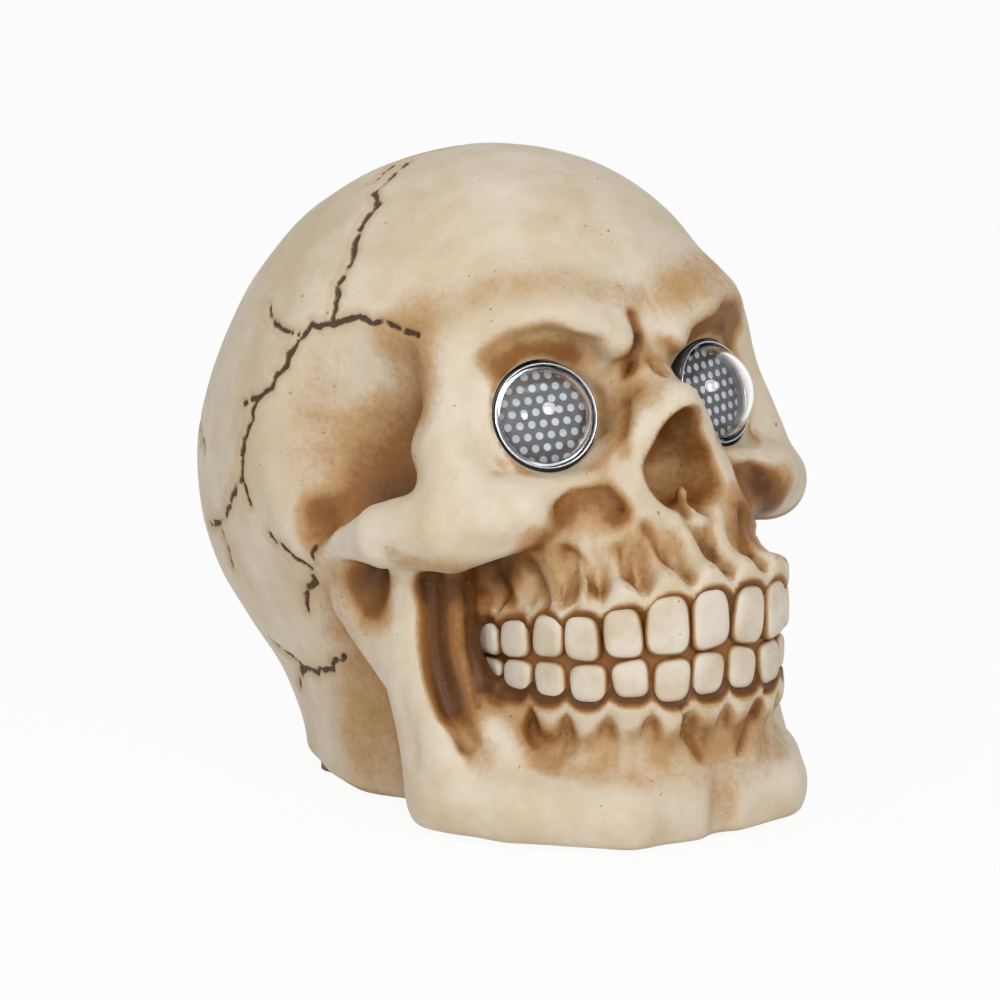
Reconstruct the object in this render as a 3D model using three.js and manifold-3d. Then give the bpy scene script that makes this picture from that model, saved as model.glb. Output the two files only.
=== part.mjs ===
// A light-up skull decoration: one hollow resin casting that stands on its jaw and neck,
// two glowing eye modules pressed into its sockets, and a battery box let into its flat base.
// Millimetres, +Z up, face towards -Y, the skull's right side at -X.

import * as THREE from 'three';
import { mergeVertices } from 'three/addons/utils/BufferGeometryUtils.js';
import Module from 'manifold-3d';

const wasm = await Module();
wasm.setup();

// Driving dimensions: the whole object
const gap = 0.3; // between pieces that touch on the real object
const past = 1; // cutters run this far past the faces that they open
const roundSides = 24;
const headSides = 16;
const holeSides = 12;
const lengthCentre = -0.5; // middle of the casting's length, which becomes the origin's Y
const gridCell = 2.5; // sampling step of the sculpted surface
const castingTriangles = 5400;
const fieldMargin = 9; // sampled room round the brain case and the teeth

// Driving dimensions: brain case, heights measured from the casting's base
const vault = { x: 0, y: 8, z: 71, width: 48.5, depth: 46, height: 47 };
const forehead = { x: 0, y: -7, z: 84, width: 39, depth: 37, height: 34.8 };
const occiput = { x: 0, y: 20, z: 54, width: 44.5, depth: 48.5, height: 43 };
const neck = { y: 4.5, radius: 33.4, top: 30, skirt: 4 };
const cavity = { x: 0, y: 16, z: 68, width: 33, depth: 38, height: 36 };
const shaftRadius = 10; // from the battery recess up into the cavity

// Driving dimensions: eyes
const eye = { x: 21, y: -40.5, z: 77, outward: 18, upward: 18 };
const housing = { radius: 10.75, wall: 0.8, depth: 12, proud: 1.6, floor: 1.2, wireHole: 2.2, boss: 3 };
const socket = { near: 6, nearRim: 1.6, far: 16, farRim: 4 }; // flare in front of each eye
const trimRing = { height: 1.2, chamfer: 0.32 };
const lens = { wall: 1.1, rise: 6.6, skirt: 1.4 };
const dotDisc = { thickness: 0.6, ledge: 0.95 };
const ledBoard = { thickness: 1.2 };
const led = { radius: 2.5, flangeRadius: 2.9, flange: 1, length: 6.4 };
const lead = { radius: 1, channelRadius: 3.2, channelLength: 24, spacing: 8 };

// Driving dimensions: jaws and teeth, widths listed from the middle to the back
const biteZ = 35.7; // height of the bite line at the front teeth
const biteSlope = 0.12; // its fall for each millimetre towards the back
const archPower = 2.7; // squareness of the row of teeth seen from above
const upperArch = { y: -30, halfWidth: 27, length: 39.5 };
const lowerArch = { y: -30, halfWidth: 26.5, length: 38.5 };
const upperWidths = [8.8, 8.7, 8.3, 8, 8.1, 8, 7];
const upperHeights = [11.4, 11, 9.4, 8.6, 8.4, 7.6, 7];
const lowerWidths = [8, 7.6, 7.8, 8.6, 8.2, 8, 7.4];
const lowerHeights = [8, 8.4, 7, 7.8, 7.2, 6.4, 5.8];
const tooth = { gap: 0.8, depth: 6, corner: 2, bevel: 1 };
const gumInset = 2; // the gums stand this far behind the faces of the teeth

// Driving dimensions: battery box and switch in the base
const cell = { radius: 5.25, length: 43.7, nubRadius: 1.9, nub: 0.8, spacing: 11.2 };
const box = { y: -11, wall: 2, flangeSide: 3, flangeEnd: 7, flange: 3, switchBay: 9, boss: 7 };
const contact = { thickness: 0.5, width: 8, height: 8 };
const spring = { radius: 3, wire: 0.4, turns: 3, length: 5 };
const door = { thickness: 2.2, ledge: 1.2 };
const slide = {
  width: 10, length: 6, height: 5, knobWidth: 3.4, knobLength: 3, travel: 4, recess: 1.5, below: 0.2,
};
const screw = {
  headRadius: 2.4, head: 1.2, radius: 1.2, length: 6, slotWidth: 0.7, slotDepth: 0.5, tip: 0.5,
};
const pad = { thickness: 1.2, radius: 5, clear: 0.55, frontY: -38, rearY: 19 };

// Derived sizes
const bayLength = cell.length + cell.nub + spring.length + 2 * contact.thickness + 5 * gap;
const bayWidth = cell.spacing + 2 * cell.radius + 2 * gap;
const bayFloor = door.thickness + gap;
const boxDepth = bayFloor + 2 * cell.radius + 2 * gap + box.wall;
const boxWidth = bayWidth + 2 * box.wall;
const boxLength = bayLength + box.boss + box.switchBay + 2 * box.wall;
const boxFront = box.y - boxLength / 2;
const bayFront = boxFront + box.wall;
const bayY = bayFront + bayLength / 2;
const bossY = bayFront + bayLength + box.boss / 2;
const switchY = boxFront + boxLength - box.wall - box.switchBay / 2;
const flangeWidth = boxWidth + 2 * box.flangeSide;
const flangeLength = boxLength + 2 * box.flangeEnd;
const boxScrewPlaces = [boxFront - box.flangeEnd / 2, boxFront + boxLength + box.flangeEnd / 2];
const padX = flangeWidth / 2 + gap + pad.clear + pad.radius;
const lensRadius = housing.radius - housing.wall - gap;
const slotWidth = slide.knobWidth + slide.travel + 2 * gap;
const slotLength = slide.knobLength + 2 * gap;
const doorLength = bayLength + box.boss + door.ledge;
const doorY = bayFront - door.ledge + doorLength / 2;

// Colours, roughness and metalness
const finishes = {
  resin: [0xd9c7a6, 0.55, 0],
  black: [0x17171a, 0.4, 0],
  chrome: [0xc9ccd0, 0.15, 1],
  clear: [0xf2f5f7, 0.05, 0],
  dots: [0x6b6d72, 0.5, 0],
  board: [0x1f5a33, 0.5, 0],
  led: [0xeef2ff, 0.2, 0],
  wire: [0x8d1f1c, 0.5, 0],
  cell: [0x2f6b4a, 0.35, 0.3],
  steel: [0xb8babd, 0.3, 1],
  pad: [0x2a2623, 0.95, 0],
};

function material(finish) {
  const [color, roughness, metalness] = finishes[finish];
  return new THREE.MeshStandardMaterial({ color, roughness, metalness });
}

// Solids: a closed geometry as a manifold solid, and back
function solidOf(geometry) {
  const bare = geometry.clone();
  bare.deleteAttribute('normal');
  bare.deleteAttribute('uv');
  const merged = mergeVertices(bare, 1e-4);
  return new wasm.Manifold(new wasm.Mesh({
    numProp: 3,
    vertProperties: new Float32Array(merged.attributes.position.array),
    triVerts: new Uint32Array(merged.index.array),
  }));
}

function geometryOf(solid) {
  const mesh = solid.getMesh();
  const geometry = new THREE.BufferGeometry();
  geometry.setAttribute('position', new THREE.BufferAttribute(mesh.vertProperties, mesh.numProp));
  geometry.setIndex(new THREE.BufferAttribute(mesh.triVerts, 1));
  return geometry;
}

// A solid's skin as lists of positions and triangles
function skinOf(solid) {
  const { vertProperties, triVerts, numProp } = solid.getMesh();
  const rows = (list, size) => {
    const count = list.length / size;
    return Array.from({ length: count }, (_, n) => [...list.slice(n * size, n * size + 3)]);
  };
  return { positions: rows(vertProperties, numProp), triangles: rows(triVerts, 3) };
}

const cut = (solid, ...geometries) => geometries.reduce((s, g) => s.subtract(solidOf(g)), solid);
const join = (solid, ...geometries) => geometries.reduce((s, g) => s.add(solidOf(g)), solid);

function block(width, length, height, x = 0, y = 0, bottom = 0) {
  return new THREE.BoxGeometry(width, length, height).translate(x, y, bottom + height / 2);
}

function rod(radius, length, x = 0, y = 0, bottom = 0, sides = roundSides) {
  const geometry = new THREE.CylinderGeometry(radius, radius, length, sides).rotateX(Math.PI / 2);
  return geometry.translate(x, y, bottom + length / 2);
}

// A body of revolution about Z from a closed list of [radius, height] points
function turned(profile, sides = roundSides) {
  const points = profile.map(([r, z]) => new THREE.Vector2(r, z));
  return new THREE.LatheGeometry(points, sides).rotateX(Math.PI / 2);
}

// Sculpted surface: signed distances, smooth joins and smooth cuts
function ellipsoid(p, { x, y, z, width, depth, height }) {
  const [dx, dy, dz] = [p.x - x, p.y - y, p.z - z];
  const near = Math.hypot(dx / width, dy / depth, dz / height);
  const slope = Math.hypot(dx / width ** 2, dy / depth ** 2, dz / height ** 2);
  return slope < 1e-9 ? -Math.min(width, depth, height) : (near * (near - 1)) / slope;
}

// A round strut between two beads [x, y, z, radius], tapering from one radius to the other
function strut(p, [ax, ay, az, ar], [bx, by, bz, br]) {
  const [vx, vy, vz] = [bx - ax, by - ay, bz - az];
  const along = (p.x - ax) * vx + (p.y - ay) * vy + (p.z - az) * vz;
  const t = THREE.MathUtils.clamp(along / (vx * vx + vy * vy + vz * vz), 0, 1);
  return Math.hypot(p.x - ax - t * vx, p.y - ay - t * vy, p.z - az - t * vz) - (ar + t * (br - ar));
}

function chain(p, beads) {
  let nearest = Infinity;
  for (let i = 1; i < beads.length; i++) nearest = Math.min(nearest, strut(p, beads[i - 1], beads[i]));
  return nearest;
}

// An upright drum between two heights with rounded rims; power 2 makes it elliptical, more makes it squarer
function drum(p, { y, halfWidth, length }, low, high, round, power = 2) {
  const [a, b] = [halfWidth - round, length - round];
  const [u, v] = [Math.abs(p.x) / a, Math.abs(p.y - y) / b];
  const near = (u ** power + v ** power) ** (1 / power);
  const reach = Math.max(near, 1e-6) ** (power - 1);
  const slope = Math.hypot(u ** (power - 1) / a, v ** (power - 1) / b) / reach;
  const side = slope < 1e-6 ? -Math.min(a, b) : (near - 1) / slope;
  const end = Math.abs(p.z - (low + high) / 2) - (high - low) / 2 + round;
  return Math.min(Math.max(side, end), 0) + Math.hypot(Math.max(side, 0), Math.max(end, 0)) - round;
}

function smoothJoin(a, b, blend) {
  const h = Math.max(blend - Math.abs(a - b), 0) / blend;
  return Math.min(a, b) - (h * h * blend) / 4;
}

const smoothCut = (a, b, blend) => -smoothJoin(-a, b, blend);

// Bones of one half of the skull, as beads [x, y, z, radius]; the other half mirrors them
const bones = {
  brow: [[8, -38.5, 90, 4.6], [15, -38.5, 92.5, 5], [22, -34, 92, 5], [29, -27.5, 87.5, 4.6]],
  orbitSide: [[30.5, -27.5, 88, 4.8], [34, -30, 79, 4.6], [36, -33.5, 66, 6]],
  cheek: [[19, -47, 65, 6], [29, -44.5, 62.5, 7], [38, -35, 57.5, 8],
    [43.5, -23, 54.5, 6], [43, -10, 51, 3.6]],
  nasalRoot: [[0, -36, 88, 6], [0, -47, 81, 4.6], [0, -53.5, 77.5, 3.8]],
  nasalSide: [[5, -49, 76, 4.5], [9.5, -49, 67, 4.6], [11, -52, 58, 6]],
  earRoot: [[36, 2, 50, 9], [38, -6, 49, 6.5]],
  ramus: [[41, -14, 37, 8.6], [39, -25, 27, 8.2], [36.5, -29, 14, 9], [34.5, -32, 7, 8.4]],
  coronoid: [[38.5, -29, 47, 5], [38, -30, 32, 8]],
  throat: [[29, -19, 46, 8], [29.5, -21, 30, 8], [29, -22, 8, 8]],
  jawBody: [[34.5, -31, 9, 8.4], [27.5, -43.5, 9, 9], [17.5, -56, 9, 9], [8, -59, 9, 8.6]],
};

// Hollows cut into one half
const hollows = {
  temple: { x: 51, y: -20, z: 67, width: 20, depth: 15, height: 20 },
  underCheek: { x: 30, y: -44, z: 47, width: 6, depth: 10, height: 8 },
  noseWide: { x: 0, y: -59, z: 65.5, width: 9, depth: 15, height: 7.5 },
  noseTop: { x: 0, y: -58, z: 72, width: 5.6, depth: 13, height: 7.5 },
  jawNotch: { x: 45, y: -20.5, z: 44, width: 9, depth: 5, height: 8 },
  ear: { x: 46, y: -3, z: 53, width: 6, depth: 5, height: 4.5 },
  mouthCorner: [[30.8, -32, 44, 3.4], [30.8, -35, 32, 3.6], [30.8, -41, 21, 2.4]],
  chinCleft: [[0, -69.5, 2, 2.4], [0, -69.5, 16, 1.8]],
};

const eyeAxis = new THREE.Vector3(0, 0, 1)
  .applyAxisAngle(new THREE.Vector3(1, 0, 0), THREE.MathUtils.degToRad(90 - eye.upward))
  .applyAxisAngle(new THREE.Vector3(0, 0, 1), THREE.MathUtils.degToRad(eye.outward));
const alongEye = (distance) => new THREE.Vector3(eye.x, eye.y, eye.z).addScaledVector(eyeAxis, distance);

function beadOnEye(distance, radius) {
  const { x, y, z } = alongEye(distance);
  return [x, y, z, radius];
}

const orbit = [
  beadOnEye(socket.near, housing.radius + socket.nearRim),
  beadOnEye(socket.far, housing.radius + socket.farRim),
];
const bossRadius = housing.radius + housing.boss;
const eyeBoss = [beadOnEye(-housing.depth - 2, bossRadius), beadOnEye(-4, bossRadius)];
const maxilla = { x: 0, y: -33, z: 52, width: 27, depth: 29, height: 20 };
const alveolus = { x: 0, y: -33, z: 45, width: 26.5, depth: 34.5, height: 15 };
const ramusFlatness = 1.8;
const blend = { broad: 12, wide: 9, soft: 6, firm: 4, crisp: 2.5 }; // radii where bones run together

const biteAt = (y) => biteZ - biteSlope * (y - upperArch.y + upperArch.length);

function skullField(x, y, z) {
  const p = { x: Math.abs(x), y, z };
  const rim = 2; // rounding of the drums' edges
  let d = smoothJoin(ellipsoid(p, vault), ellipsoid(p, forehead), blend.broad);
  d = smoothJoin(d, ellipsoid(p, occiput), blend.broad);
  const neckDrum = { y: neck.y, halfWidth: neck.radius, length: neck.radius };
  d = smoothJoin(d, drum(p, neckDrum, -neck.skirt, neck.top, rim), blend.wide);
  d = smoothCut(d, ellipsoid(p, hollows.temple), blend.soft);
  d = smoothJoin(d, ellipsoid(p, maxilla), blend.soft);
  d = smoothJoin(d, ellipsoid(p, alveolus), blend.soft);
  d = smoothJoin(d, chain(p, bones.brow), blend.broad);
  d = smoothJoin(d, chain(p, bones.nasalRoot), blend.soft);
  d = smoothJoin(d, chain(p, eyeBoss), blend.firm);
  d = smoothJoin(d, chain(p, bones.earRoot), blend.soft);
  d = smoothJoin(d, chain(p, bones.nasalSide), blend.firm);
  const overBite = { x: p.x, y, z: z - biteAt(y) };
  const [gumHalf, gumLength] = [lowerArch.halfWidth - gumInset, lowerArch.length - gumInset];
  const gums = { y: lowerArch.y, halfWidth: gumHalf, length: gumLength };
  d = smoothJoin(d, drum(overBite, gums, -lowerHeights[0], upperHeights[0], rim, archPower), blend.crisp);
  const jawCore = { y: lowerArch.y, halfWidth: gumHalf + gumInset / 2, length: gumLength };
  const jawTop = biteZ - lowerHeights[0] - gumInset;
  let jaw = drum(p, jawCore, -neck.skirt, jawTop, rim, archPower);
  jaw = smoothJoin(jaw, chain(p, bones.jawBody), blend.firm);
  for (const [plate, [x0]] of [[bones.coronoid, bones.coronoid[0]], [bones.ramus, bones.ramus[1]]]) {
    const flattened = { x: x0 + (p.x - x0) * ramusFlatness, y, z };
    jaw = smoothJoin(jaw, chain(flattened, plate), blend.firm);
  }
  jaw = smoothCut(jaw, ellipsoid(p, hollows.jawNotch), blend.crisp);
  jaw = smoothJoin(jaw, chain(p, bones.throat), blend.firm);
  d = smoothJoin(d, jaw, blend.crisp);
  d = smoothCut(d, ellipsoid(p, hollows.underCheek), blend.crisp);
  d = smoothCut(d, chain(p, hollows.mouthCorner), blend.crisp);
  d = smoothJoin(d, chain(p, bones.cheek), blend.firm);
  d = smoothJoin(d, chain(p, bones.orbitSide), blend.firm);
  d = smoothCut(d, chain(p, orbit), blend.firm);
  const nose = smoothJoin(ellipsoid(p, hollows.noseWide), ellipsoid(p, hollows.noseTop), blend.crisp);
  d = smoothCut(d, nose, blend.crisp);
  d = smoothCut(d, ellipsoid(p, hollows.ear), blend.firm);
  return smoothCut(d, chain(p, hollows.chinCleft), blend.crisp);
}

// Marching tetrahedra: the zero surface of a field inside a box, as shared vertices and triangles
function polygonise(field, low, high, step) {
  const count = high.map((h, k) => Math.ceil((h - low[k]) / step) + 1);
  const id = (i, j, k) => (k * count[1] + j) * count[0] + i;
  const place = (n) => {
    const i = n % count[0];
    const j = Math.floor(n / count[0]) % count[1];
    const k = Math.floor(n / (count[0] * count[1]));
    return [low[0] + i * step, low[1] + j * step, low[2] + k * step];
  };
  const values = new Float64Array(count[0] * count[1] * count[2]);
  for (let n = 0; n < values.length; n++) values[n] = field(...place(n)) || 1e-9;

  const positions = [];
  const triangles = [];
  const made = new Map();
  const crossing = (m, n) => {
    const key = m < n ? m * values.length + n : n * values.length + m;
    if (!made.has(key)) {
      const [a, b] = m < n ? [m, n] : [n, m];
      const t = THREE.MathUtils.clamp(values[a] / (values[a] - values[b]), 0.05, 0.95);
      const [pa, pb] = [place(a), place(b)];
      made.set(key, positions.length);
      positions.push(pa.map((c, axis) => c + t * (pb[axis] - c)));
    }
    return made.get(key);
  };
  const facet = (a, b, c, inner) => {
    const [u, v] = [b, c].map((n) => positions[n].map((q, axis) => q - positions[a][axis]));
    const w = place(inner).map((q, axis) => q - positions[a][axis]);
    const [nx, ny, nz] = [u[1] * v[2] - u[2] * v[1], u[2] * v[0] - u[0] * v[2], u[0] * v[1] - u[1] * v[0]];
    triangles.push(nx * w[0] + ny * w[1] + nz * w[2] < 0 ? [a, b, c] : [a, c, b]);
  };
  // Six tetrahedra stand round each cell's diagonal
  const paths = [[1, 3], [3, 2], [2, 6], [6, 4], [4, 5], [5, 1]];
  for (let k = 0; k + 1 < count[2]; k++) {
    for (let j = 0; j + 1 < count[1]; j++) {
      for (let i = 0; i + 1 < count[0]; i++) {
        const corner = (c) => id(i + (c & 1), j + ((c >> 1) & 1), k + (c >> 2));
        for (const [s, t] of paths) {
          const tetra = [corner(0), corner(s), corner(t), corner(7)];
          const inside = tetra.filter((n) => values[n] < 0);
          const outside = tetra.filter((n) => values[n] >= 0);
          if (inside.length === 1) facet(...outside.map((n) => crossing(inside[0], n)), inside[0]);
          if (inside.length === 3) facet(...inside.map((n) => crossing(n, outside[0])), inside[0]);
          if (inside.length === 2) {
            const [a, b] = outside.map((n) => crossing(inside[0], n));
            const [c, e] = outside.map((n) => crossing(inside[1], n));
            facet(a, b, e, inside[0]);
            facet(a, e, c, inside[0]);
          }
        }
      }
    }
  }
  return { positions, triangles };
}

// The largest connected skin of a surface, without bubbles sealed inside it
function outerSkin({ positions, triangles }) {
  const parent = positions.map((_, n) => n);
  const root = (n) => {
    while (parent[n] !== n) {
      parent[n] = parent[parent[n]];
      n = parent[n];
    }
    return n;
  };
  for (const [a, b, c] of triangles) {
    parent[root(a)] = root(b);
    parent[root(b)] = root(c);
  }
  const sizes = new Map();
  for (const [a] of triangles) sizes.set(root(a), (sizes.get(root(a)) ?? 0) + 1);
  const largest = [...sizes.entries()].reduce((best, entry) => (entry[1] > best[1] ? entry : best))[0];
  return { positions, triangles: triangles.filter(([a]) => root(a) === largest) };
}

// Quadric edge collapse: fewer triangles where the surface is flat, with the surface kept closed
function collapseEdges({ positions, triangles }, target) {
  const around = positions.map(() => new Set());
  triangles.forEach((t, n) => t.forEach((v) => around[v].add(n)));
  const alive = triangles.map(() => true);
  let left = triangles.length;
  const normalOf = ([a, b, c]) => {
    const [u, v] = [b, c].map((q) => q.map((w, axis) => w - a[axis]));
    return [u[1] * v[2] - u[2] * v[1], u[2] * v[0] - u[0] * v[2], u[0] * v[1] - u[1] * v[0]];
  };
  const quadrics = positions.map(() => new Float64Array(10));
  for (const t of triangles) {
    const corners = t.map((v) => positions[v]);
    const n = normalOf(corners);
    const size = Math.hypot(...n) || 1;
    const [a, b, c] = n.map((q) => q / size);
    const d = -(a * corners[0][0] + b * corners[0][1] + c * corners[0][2]);
    const terms = [a * a, a * b, a * c, a * d, b * b, b * c, b * d, c * c, c * d, d * d];
    for (const v of t) terms.forEach((q, k) => { quadrics[v][k] += q * size; });
  }
  const error = (q, [x, y, z]) => q[0] * x * x + q[4] * y * y + q[7] * z * z + q[9]
    + 2 * (q[1] * x * y + q[2] * x * z + q[5] * y * z + q[3] * x + q[6] * y + q[8] * z);
  const bestPlace = (q, a, b) => {
    const m = new THREE.Matrix3(q[0], q[1], q[2], q[1], q[4], q[5], q[2], q[5], q[7]);
    const middle = a.map((w, axis) => (w + b[axis]) / 2);
    const choices = [a, b, middle];
    if (Math.abs(m.determinant()) > 1e-3) {
      const solved = new THREE.Vector3(-q[3], -q[6], -q[8]).applyMatrix3(m.invert()).toArray();
      const away = Math.hypot(...solved.map((w, axis) => w - middle[axis]));
      if (away < 2 * Math.hypot(...a.map((w, axis) => w - b[axis]))) choices.push(solved);
    }
    return choices.reduce((best, c) => (error(q, c) < error(q, best) ? c : best));
  };
  const neighbours = (v) => {
    const found = new Set();
    for (const n of around[v]) triangles[n].forEach((w) => w !== v && found.add(w));
    return found;
  };
  const age = new Uint32Array(positions.length);
  const heap = [];
  const swap = (i, j) => { [heap[i], heap[j]] = [heap[j], heap[i]]; };
  const push = (item) => {
    heap.push(item);
    for (let i = heap.length - 1; i > 0;) {
      const parent = (i - 1) >> 1;
      if (heap[parent].cost <= heap[i].cost) break;
      swap(i, parent);
      i = parent;
    }
  };
  const pop = () => {
    const top = heap[0];
    const last = heap.pop();
    if (heap.length) {
      heap[0] = last;
      for (let i = 0; ;) {
        let least = i;
        for (const child of [2 * i + 1, 2 * i + 2]) {
          if (child < heap.length && heap[child].cost < heap[least].cost) least = child;
        }
        if (least === i) break;
        swap(i, least);
        i = least;
      }
    }
    return top;
  };
  const offer = (a, b) => {
    const q = quadrics[a].map((w, k) => w + quadrics[b][k]);
    const to = bestPlace(q, positions[a], positions[b]);
    push({ a, b, to, cost: error(q, to), ages: age[a] + age[b] });
  };
  for (const t of triangles) {
    t.forEach((v, k) => { if (v < t[(k + 1) % 3]) offer(v, t[(k + 1) % 3]); });
  }
  const turnsOver = (v, other, to) => [...around[v]].some((n) => {
    if (triangles[n].includes(other)) return false;
    const before = normalOf(triangles[n].map((w) => positions[w]));
    const after = normalOf(triangles[n].map((w) => (w === v ? to : positions[w])));
    const dot = before[0] * after[0] + before[1] * after[1] + before[2] * after[2];
    return dot < 0.2 * Math.hypot(...before) * Math.hypot(...after);
  });
  while (left > target && heap.length) {
    const { a, b, to, ages } = pop();
    if (ages !== age[a] + age[b] || !around[a].size || !around[b].size) continue;
    const near = neighbours(a);
    if (!near.has(b) || [...neighbours(b)].filter((v) => near.has(v)).length !== 2) continue;
    if (turnsOver(a, b, to) || turnsOver(b, a, to)) continue;
    positions[a] = to;
    quadrics[b].forEach((w, k) => { quadrics[a][k] += w; });
    for (const n of around[b]) {
      if (triangles[n].includes(a)) {
        triangles[n].forEach((v) => v !== b && around[v].delete(n));
        alive[n] = false;
        left -= 1;
      } else {
        triangles[n][triangles[n].indexOf(b)] = a;
        around[a].add(n);
      }
    }
    around[b].clear();
    age[a] += 1;
    age[b] += 1;
    for (const v of neighbours(a)) offer(a, v);
  }
  return { positions, triangles: triangles.filter((t, n) => alive[n]) };
}

function geometryFrom({ positions, triangles }) {
  const used = [...new Set(triangles.flat())];
  const order = new Map(used.map((v, n) => [v, n]));
  const geometry = new THREE.BufferGeometry();
  geometry.setAttribute('position', new THREE.Float32BufferAttribute(used.flatMap((v) => positions[v]), 3));
  geometry.setIndex(triangles.flat().map((v) => order.get(v)));
  return geometry;
}

// Teeth: bevelled blocks standing round the arch, listed from the middle to the back on both sides
function archPoint(arch, turn) {
  const squared = (w) => Math.sign(w) * Math.abs(w) ** (2 / archPower);
  return [arch.halfWidth * squared(Math.sin(turn)), arch.y - arch.length * squared(Math.cos(turn))];
}

// The place and outward heading of the arch at a distance from its middle, measured along it
function alongArch(arch, distance) {
  const steps = 600;
  let [walked, before] = [0, archPoint(arch, 0)];
  for (let i = 1; i <= steps; i++) {
    const here = archPoint(arch, (i / steps) * Math.PI * 0.62);
    const step = Math.hypot(here[0] - before[0], here[1] - before[1]);
    if (walked + step >= distance) {
      return { x: here[0], y: here[1], heading: Math.atan2(here[1] - before[1], here[0] - before[0]) };
    }
    walked += step;
    before = here;
  }
  return { x: before[0], y: before[1], heading: Math.PI / 2 };
}

function toothGeometry(width, height) {
  const [w, h, c] = [width / 2 - tooth.bevel, height / 2 - tooth.bevel, tooth.corner - tooth.bevel];
  const outline = new THREE.Shape();
  outline.moveTo(-w + c, -h);
  outline.lineTo(w - c, -h);
  outline.quadraticCurveTo(w, -h, w, -h + c);
  outline.lineTo(w, h - c);
  outline.quadraticCurveTo(w, h, w - c, h);
  outline.lineTo(-w + c, h);
  outline.quadraticCurveTo(-w, h, -w, h - c);
  outline.lineTo(-w, -h + c);
  outline.quadraticCurveTo(-w, -h, -w + c, -h);
  const settings = { depth: tooth.depth - 2 * tooth.bevel, curveSegments: 1, bevelSegments: 1 };
  settings.bevelThickness = tooth.bevel;
  settings.bevelSize = tooth.bevel;
  const geometry = new THREE.ExtrudeGeometry(outline, settings);
  geometry.translate(0, 0, tooth.bevel - tooth.depth);
  return geometry.rotateX(Math.PI / 2);
}

function rowOfTeeth(arch, widths, heights, side) {
  const teeth = [];
  let start = 0;
  widths.forEach((width, n) => {
    const { x, y, heading } = alongArch(arch, start + width / 2);
    const middle = biteAt(y) + (side * (heights[n] + tooth.gap / 2)) / 2;
    const one = toothGeometry(width - tooth.gap, heights[n] - tooth.gap / 2);
    teeth.push(one.clone().rotateZ(heading).translate(x, y, middle));
    teeth.push(one.rotateZ(-heading).translate(-x, y, middle));
    start += width;
  });
  return teeth;
}

// An eye's own frame: +Z along its line of sight, origin on the socket's face
function eyeFrame(side) {
  const frame = new THREE.Group();
  frame.position.set(side * eye.x, eye.y, eye.z);
  const [tilt, swing] = [90 - eye.upward, side * eye.outward].map(THREE.MathUtils.degToRad);
  frame.rotation.set(tilt, 0, swing, 'ZYX');
  frame.updateMatrix();
  return frame;
}

function skullCasting() {
  const halfSpan = Math.max(vault.width, occiput.width) + fieldMargin;
  const front = upperArch.y - upperArch.length - fieldMargin;
  const back = occiput.y + occiput.depth + fieldMargin;
  const crown = Math.max(vault.z + vault.height, forehead.z + forehead.height) + fieldMargin;
  const low = [-halfSpan, front, -neck.skirt - fieldMargin];
  const sampled = polygonise(skullField, low, [halfSpan, back, crown], gridCell);
  let solid = solidOf(geometryFrom(collapseEdges(outerSkin(sampled), castingTriangles)));
  solid = join(solid, ...rowOfTeeth(upperArch, upperWidths, upperHeights, 1));
  solid = join(solid, ...rowOfTeeth(lowerArch, lowerWidths, lowerHeights, -1));
  const skirt = neck.skirt + fieldMargin;
  const underside = block(2 * halfSpan, 2 * (back - front), skirt, 0, 0, -skirt);
  const hollow = new THREE.SphereGeometry(1, 24, 16).rotateX(Math.PI / 2);
  hollow.scale(cavity.width, cavity.depth, cavity.height).translate(cavity.x, cavity.y, cavity.z);
  const recess = block(boxWidth + 2 * gap, boxLength + 2 * gap, boxDepth + gap + past, 0, box.y, -past);
  const rebateDepth = box.flange + gap + past;
  const rebate = block(flangeWidth + 2 * gap, flangeLength + 2 * gap, rebateDepth, 0, box.y, -past);
  const shaft = rod(shaftRadius, cavity.z - boxDepth, 0, switchY, boxDepth - past);
  const pilotRadius = screw.radius + gap;
  const pilotLength = screw.length + past;
  const pilotZ = box.flange - past;
  const pilots = boxScrewPlaces.map((y) => rod(pilotRadius, pilotLength, 0, y, pilotZ, holeSides));
  solid = cut(solid, underside, hollow, recess, rebate, shaft, ...pilots);
  for (const side of [-1, 1]) {
    const { matrix } = eyeFrame(side);
    const seat = housing.depth + gap;
    const bore = rod(housing.radius + gap, seat + socket.far, 0, 0, -seat);
    const channelEnd = -housing.depth - lead.channelLength;
    const channel = rod(lead.channelRadius, lead.channelLength + past, 0, 0, channelEnd, holeSides);
    solid = cut(solid, bore.applyMatrix4(matrix), channel.applyMatrix4(matrix));
  }
  return geometryFrom(outerSkin(skinOf(solid)));
}

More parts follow.
